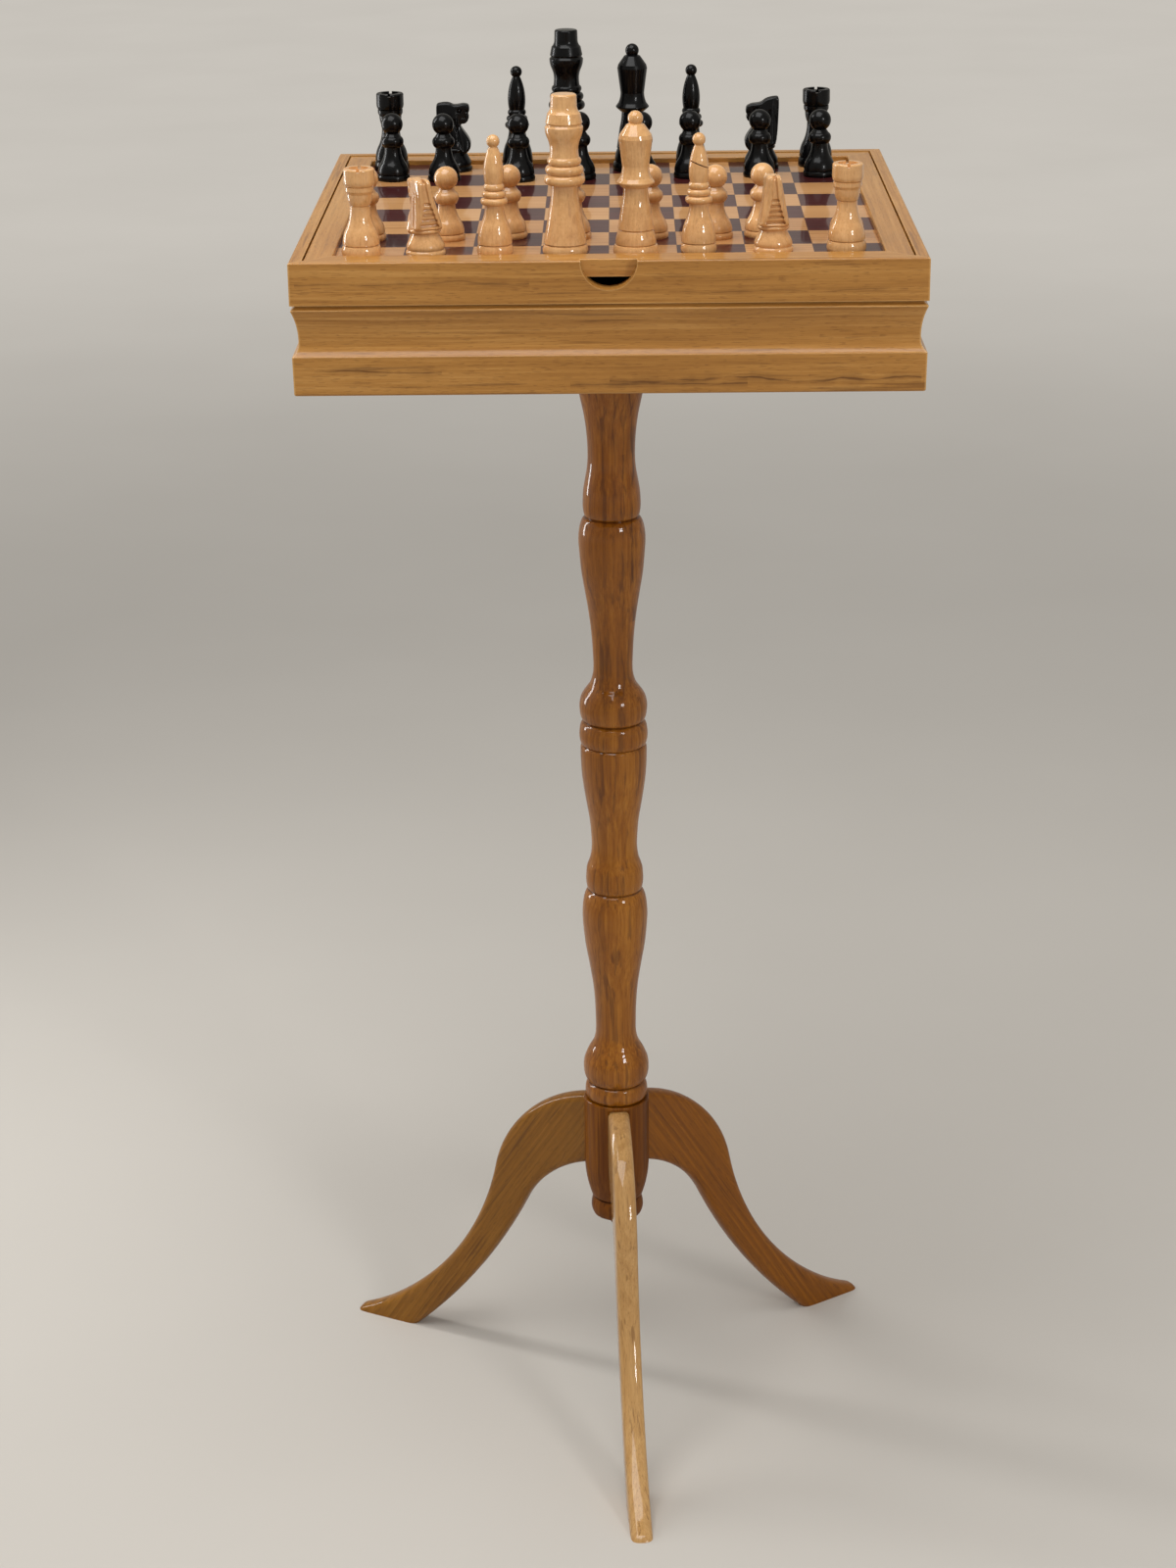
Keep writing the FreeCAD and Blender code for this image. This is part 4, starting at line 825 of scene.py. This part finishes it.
# Rungs cut across the mane: how many, height of the first, pitch, height of a cut, and how much
# wider and deeper it goes than the hollow.
RUNGS, FIRST_RUNG, RUNG_PITCH, RUNG_HEIGHT = 5, 15.0, 2.8, 1.25
RUNG_WIDER, RUNG_DEEPER = 0.25, 1.0
HOLLOW_BEHIND, RUNG_BEHIND = -12.0, -11.5       # where the two cuts start, behind the head
# Cuts with six sides, from one corner to the other, and how steeply the mouth drops forwards.
EAR_SLIT = ((-8.6, -0.8, 37.2), (-0.6, 0.8, 41.2))
MOUTH = ((4.6, -7.0, 30.5), (11.0, 7.0, 31.05))
MOUTH_DROP = 0.12
# Flutes up a cheek, from one place forward and up to another, how deep they are cut, and the half
# width of the cutter at its inner and outer side.
FLUTES = [((4.6, 13.0), (0.2, 30.0)), ((-2.6, 14.6), (-4.6, 33.0))]
FLUTE_DEPTH, FLUTE_STEPS = 0.45, 6
FLUTE_INNER, FLUTE_OUTER = 0.5, 0.9
# Eyes and nostrils: place forward and up, and radius of the hole; an eyeball lies in each eye.
EYE, EYE_RADIUS = (3.4, 34.6), 1.25
NOSTRIL, NOSTRIL_RADIUS = (7.7, 34.3), 0.6
HOLE_DEPTH, HOLE_SIDES = 0.9, 16
EYEBALL_RADIUS, EYEBALL_SUNK = 0.95, 0.75
PAST_CHEEK = 3.0            # how far a cutter stands out from the cheek
# Turned foot with the collar under the head, height and radius.
KNIGHT_FOOT = [
    (0.0, 9.8), (0.3, 10.2), (0.9, 10.3), (1.7, 10.25), (2.3, 10.0), (2.6, 9.6), (2.85, 9.5),
    (3.1, 9.65), (3.9, 9.85), (4.9, 9.75), (6.1, 9.3), (7.5, 8.6), (9.0, 7.8), (10.2, 7.2),
    (11.0, 6.9), (11.3, 7.0), (11.5, 7.6), (11.9, 8.0), (12.5, 8.15), (13.0, 8.0), (13.4, 7.6),
    (13.5, 7.0)]
FOOT_SIDES = 72
CARVING_GRAIN = 0.3         # size of the smallest feature that the carving keeps
# Heights between which the head takes up its lean, and the muzzle its drop.
LEAN_HEIGHTS, DROP_HEIGHTS = (12.0, 40.0), (22.0, 36.0)
MUZZLE_REACH = 9.0          # how far the muzzle lies before the axis


def between(table, place):
    """Reads a table of (place, value) rows, in a straight line from row to row."""
    for (first, low), (last, high) in zip(table, table[1:]):
        if place <= last:
            return low + (high - low) * max(0.0, (place - first) / (last - first))
    return table[-1][1]


def slope(place, start, end):
    """Rises smoothly from 0 at the start to 1 at the end."""
    share = min(1.0, max(0.0, (place - start) / (end - start)))
    return share * share * (3 - 2 * share)


def head_half_width(forward, up):
    """The head tapers upwards, and is narrower at the muzzle, down the chest and at the mane."""
    muzzle = MUZZLE_NARROWER * slope(forward, 2.0, 9.0) * slope(up, 24.5, 28.5)
    chest = CHEST_NARROWER * slope(forward, 6.0, 10.0) * slope(up, 22.0, 15.0)
    mane = MANE_NARROWER * slope(forward, -5.5, -9.8)
    return between(HEAD_HALF_WIDTH, up) * (1 - muzzle) * (1 - chest) * (1 - mane)


def inset(outline, depth):
    """The outline moved inwards by a depth, point by point."""
    moved = []
    for number, here in enumerate(outline):
        before, after = outline[number - 1], outline[(number + 1) % len(outline)]
        run = Vector((after[0] - before[0], after[1] - before[1])).normalized()
        moved.append((here[0] - run.y * depth, here[1] + run.x * depth))
    return moved


def soften(outline):
    """Cuts every corner of a closed outline once."""
    cut = []
    for number, here in enumerate(outline):
        after = outline[(number + 1) % len(outline)]
        for share in (0.25, 0.75):
            cut.append((here[0] + (after[0] - here[0]) * share,
                        here[1] + (after[1] - here[1]) * share))
    return cut


def head_block():
    """The sawn head: the side outline carried across its width, rounded towards both cheeks."""
    outline = soften(HEAD_SIDE)
    left = [(-across, depth) for across, depth in reversed(HEAD_ROUNDING)]
    rings = []
    for across, depth in left + [(0.0, 0.0)] + HEAD_ROUNDING:
        rings.append([(forward, across * head_half_width(forward, up), up)
                      for forward, up in inset(outline, depth)])
    shape = bmesh.new()
    add_rings(shape, rings)
    settle_faces(shape)
    return shape


def block(shape, low, high, drop=0.0):
    """A cutter with six sides; drop is how steeply it falls forwards."""
    corners = [(forward, side, up - drop * (forward - low[0]))
               for forward in (low[0], high[0])
               for side in (low[1], high[1])
               for up in (low[2], high[2])]
    made = [shape.verts.new(corner) for corner in corners]
    for face in ((0, 1, 3, 2), (4, 6, 7, 5), (0, 4, 5, 1), (2, 3, 7, 6), (0, 2, 6, 4), (1, 5, 7, 3)):
        shape.faces.new([made[number] for number in face])


def mane_cutters():
    """The hollow down the mane with its rungs, the slit between the ears and the mouth."""
    shape = bmesh.new()
    rings = []
    for up in MANE_HEIGHTS:
        half, floor = between(MANE_HALF_WIDTH, up), between(MANE_FLOOR, up)
        rings.append([(HOLLOW_BEHIND, -half, up), (HOLLOW_BEHIND, half, up),
                      (floor, half, up), (floor, -half, up)])
    add_rings(shape, rings)
    for rung in range(RUNGS):
        up = FIRST_RUNG + RUNG_PITCH * rung
        half = between(MANE_HALF_WIDTH, up) + RUNG_WIDER
        floor = between(MANE_FLOOR, up) + RUNG_DEEPER
        block(shape, (RUNG_BEHIND, -half, up), (floor, half, up + RUNG_HEIGHT))
    block(shape, *EAR_SLIT)
    block(shape, *MOUTH, MOUTH_DROP)
    return shape


def flute(shape, side, foot, top):
    """A shallow groove up a cheek, from one (forward, up) place to another."""
    rings = []
    for step in range(FLUTE_STEPS + 1):
        share = step / FLUTE_STEPS
        forward = foot[0] + (top[0] - foot[0]) * share
        up = foot[1] + (top[1] - foot[1]) * share
        cheek = head_half_width(forward, up)
        inner, outer = side * (cheek - FLUTE_DEPTH), side * (cheek + PAST_CHEEK)
        rings.append([(forward - FLUTE_INNER, inner, up), (forward + FLUTE_INNER, inner, up),
                      (forward + FLUTE_OUTER, outer, up), (forward - FLUTE_OUTER, outer, up)])
    add_rings(shape, rings)


def dimple(shape, side, place, radius):
    """A round cutter that goes into a cheek from outside, at a (forward, up) place."""
    forward, up = place
    turns = [turn * math.tau / HOLE_SIDES for turn in range(HOLE_SIDES)]
    ring = [(forward + radius * math.cos(turn), up + radius * math.sin(turn)) for turn in turns]
    cheek = head_half_width(forward, up)
    add_rings(shape, [[(x, side * across, z) for x, z in ring]
                      for across in (cheek - HOLE_DEPTH, cheek + PAST_CHEEK)])


def cheek_cutters():
    """Eyes, nostrils and flutes on both sides of the head."""
    shape = bmesh.new()
    for side in (-1, 1):
        dimple(shape, side, EYE, EYE_RADIUS)
        dimple(shape, side, NOSTRIL, NOSTRIL_RADIUS)
        for foot, top in FLUTES:
            flute(shape, side, foot, top)
    return shape


def add_helper(name, shape):
    """An object for the carving alone, its faces turned outwards; the shape is used up."""
    bmesh.ops.recalc_face_normals(shape, faces=shape.faces)
    mesh = bpy.data.meshes.new(name)
    shape.to_mesh(mesh)
    shape.free()
    return new_object(name, mesh)


def carve_head():
    """Cuts the sawn head with every cutter and sands it; a new shape in millimetres."""
    head = add_helper("knight_head", head_block())
    cutters = [add_helper("knight_mane_cutters", mane_cutters()),
               add_helper("knight_cheek_cutters", cheek_cutters())]
    for cutter in cutters:
        cut = head.modifiers.new(cutter.name, "BOOLEAN")
        cut.operation = "DIFFERENCE"
        cut.solver = "EXACT"
        cut.use_self = True
        cut.object = cutter
    whole = head.modifiers.new("one_skin", "REMESH")
    whole.mode = "VOXEL"
    whole.voxel_size = CARVING_GRAIN
    sanded = head.modifiers.new("sanded", "SMOOTH")
    sanded.factor = 0.5
    sanded.iterations = 2
    finished = head.evaluated_get(bpy.context.evaluated_depsgraph_get())
    shape = bmesh.new()
    shape.from_mesh(bpy.data.meshes.new_from_object(finished))
    for helper in cutters + [head]:
        bpy.data.objects.remove(helper)
    return shape


def carve_knight():
    """One knight in millimetres: the carved head with its eyeballs, set on its turned foot."""
    shape = carve_head()
    forward, up = EYE
    for side in (-1, 1):
        seat = Vector((forward, side * (head_half_width(forward, up) - EYEBALL_SUNK), up))
        bmesh.ops.create_uvsphere(shape, u_segments=16, v_segments=10, radius=EYEBALL_RADIUS,
                                  matrix=Matrix.Translation(seat))
    add_rings(shape, turned_rings(KNIGHT_FOOT, FOOT_SIDES))
    return shape


def stand_knight(name, carving, place, finish):
    """A carved knight where its node stands, turned as it is played."""
    turn, lean, drop = KNIGHTS[name]
    shape = carving.copy()
    for point in shape.verts:
        forward, across, up = point.co
        point.co = (forward, across + lean * slope(up, *LEAN_HEIGHTS),
                    up - drop * forward / MUZZLE_REACH * slope(up, *DROP_HEIGHTS))
    add_piece(f"{name}_carved", shape, finish, name, name, place=place, turn=turn)
    shape.free()


def dress_men():
    """Gives every man its finish; the four knights get a carved piece each."""
    black = black_lacquer()
    carving = carve_knight()
    men = sorted(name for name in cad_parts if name.startswith(("black_", "white_")))
    for number, name in enumerate(men, 1):
        low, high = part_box(name)
        middle = (low + high) / 2
        # A carved knight's grain is measured from its own foot, the others' from the table's axis.
        from_pith = (0.012, 0.03) if name in KNIGHTS else (0.012 - middle.y, 0.009 + middle.x)
        if name.startswith("black_"):
            finish = black
        else:
            finish = white_man_wood(f"{name}_wood", (1.7 * number, *from_pith))
        if name in KNIGHTS:
            stand_knight(name, carving, (middle.x, middle.y, low.z), finish)
        else:
            dress(name, finish)
    carving.free()


dress_box()
turn_column()
stand_legs()
dress_board()
dress_hidden()
dress_men()


# ---------------------------------------------------------------- floor, lights and camera

FLOOR_REACH = 14.0                      # from the middle of the floor to a side
FLOOR_TONES = (colour(196, 191, 183), colour(203, 198, 190))
GLOW_START, GLOW_END = 0.7, 4.0         # from where to where the floor turns into an even glow
BACKDROP = colour(176, 172, 164)
ROOM_LIGHT, ROOM_POWER = (1.0, 0.98, 0.95, 1.0), 0.32       # the weak light from all round

# Each lamp's place, what it aims at, its width and height, and its power in watts.
LAMPS = {
    "overhead": ((-0.3, -0.5, 2.4), (0.0, 0.0, 0.5), (1.6, 1.6), 36.0),
    "left_window": ((-1.05, 0.45, 0.97), (0.0, 0.0, 0.97), (0.16, 1.2), 8.0),
    "right_window_high": ((1.45, -2.15, 1.66), (0.0, 0.0, 0.6), (0.5, 0.24), 9.0),
    "right_window_low": ((1.45, -2.15, 1.29), (0.0, 0.0, 0.6), (0.5, 0.24), 9.0),
}

CAMERA_PLACE = (0.0055, -1.7124, 1.0562)
CAMERA_LEFT, CAMERA_DOWN, CAMERA_ROLL = 0.694, 21.03, -0.65
SENSOR_WIDTH, FOCAL_LENGTH = 36.0, 71.7     # in millimetres


def looked_at(tree):
    """1 where a surface is seen, mirrored or seen through glass, 0 where it only lights others."""
    path = add(tree, "LightPath").outputs
    indirect = maths(tree, "MAXIMUM", path["Is Glossy Ray"], path["Is Transmission Ray"])
    return maths(tree, "MAXIMUM", path["Is Camera Ray"], indirect)


def make_floor():
    """A pale floor that catches shadows near the table and glows evenly far from it."""
    mesh = bpy.data.meshes.new("floor")
    corners = [(FLOOR_REACH * x, FLOOR_REACH * y, 0) for x, y in ((-1, -1), (1, -1), (1, 1), (-1, 1))]
    mesh.from_pydata(corners, [], [(0, 1, 2, 3)])
    floor = new_object("floor", mesh)
    material, tree, shader = new_material("pale_floor")
    here = object_place(tree)
    patch = noise(tree, here, 3.0, 3.0)["Fac"]
    tint = mix(tree, patch, *FLOOR_TONES)
    connect(tree, shader, {"Base Color": tint, "Roughness": 0.8, "Specular IOR Level": 0.1})
    glow = add(tree, "Emission", {"Color": tint, "Strength": 1.0})
    far = times(tree, looked_at(tree), fade(tree, length(tree, here), GLOW_START, GLOW_END))
    blend = add(tree, "MixShader", {0: far, 1: shader.outputs[0], 2: glow.outputs[0]})
    connect(tree, tree.nodes["Material Output"], {"Surface": blend.outputs[0]})
    mesh.materials.append(material)


def make_world():
    """A weak light from all round, in front of a plain backdrop."""
    world = bpy.data.worlds.new("studio")
    bpy.context.scene.world = world
    world.use_nodes = True
    tree = world.node_tree
    tree.nodes.clear()
    fill = add(tree, "Background", {"Color": ROOM_LIGHT, "Strength": ROOM_POWER})
    backdrop = add(tree, "Background", {"Color": BACKDROP, "Strength": 1.0})
    wires = {0: looked_at(tree), 1: fill.outputs[0], 2: backdrop.outputs[0]}
    add(tree, "OutputWorld", {"Surface": add(tree, "MixShader", wires).outputs[0]})


def make_lamps():
    """Rectangular lamps, each turned to what it aims at."""
    for name, (place, aim, size, power) in LAMPS.items():
        lamp = bpy.data.lights.new(name, "AREA")
        lamp.shape = "RECTANGLE"
        lamp.size, lamp.size_y = size
        lamp.energy = power
        holder = new_object(name, lamp)
        holder.location = place
        holder.rotation_euler = (Vector(aim) - Vector(place)).to_track_quat("-Z", "Y").to_euler()


def make_camera():
    """Two steps in front of the table and a little higher than the men, looking down at it."""
    lens = bpy.data.cameras.new("camera")
    lens.sensor_fit = "AUTO"
    lens.sensor_width = SENSOR_WIDTH
    lens.lens = FOCAL_LENGTH
    holder = new_object("camera", lens)
    holder.location = CAMERA_PLACE
    turn = Matrix.Rotation(math.radians(CAMERA_LEFT), 3, "Z")
    tip = Matrix.Rotation(math.radians(90 - CAMERA_DOWN), 3, "X")
    roll = Matrix.Rotation(math.radians(CAMERA_ROLL), 3, "Z")
    holder.rotation_euler = (turn @ tip @ roll).to_euler()
    bpy.context.scene.camera = holder


make_floor()
make_world()
make_lamps()
make_camera()
bpy.context.scene.view_settings.view_transform = "Standard"
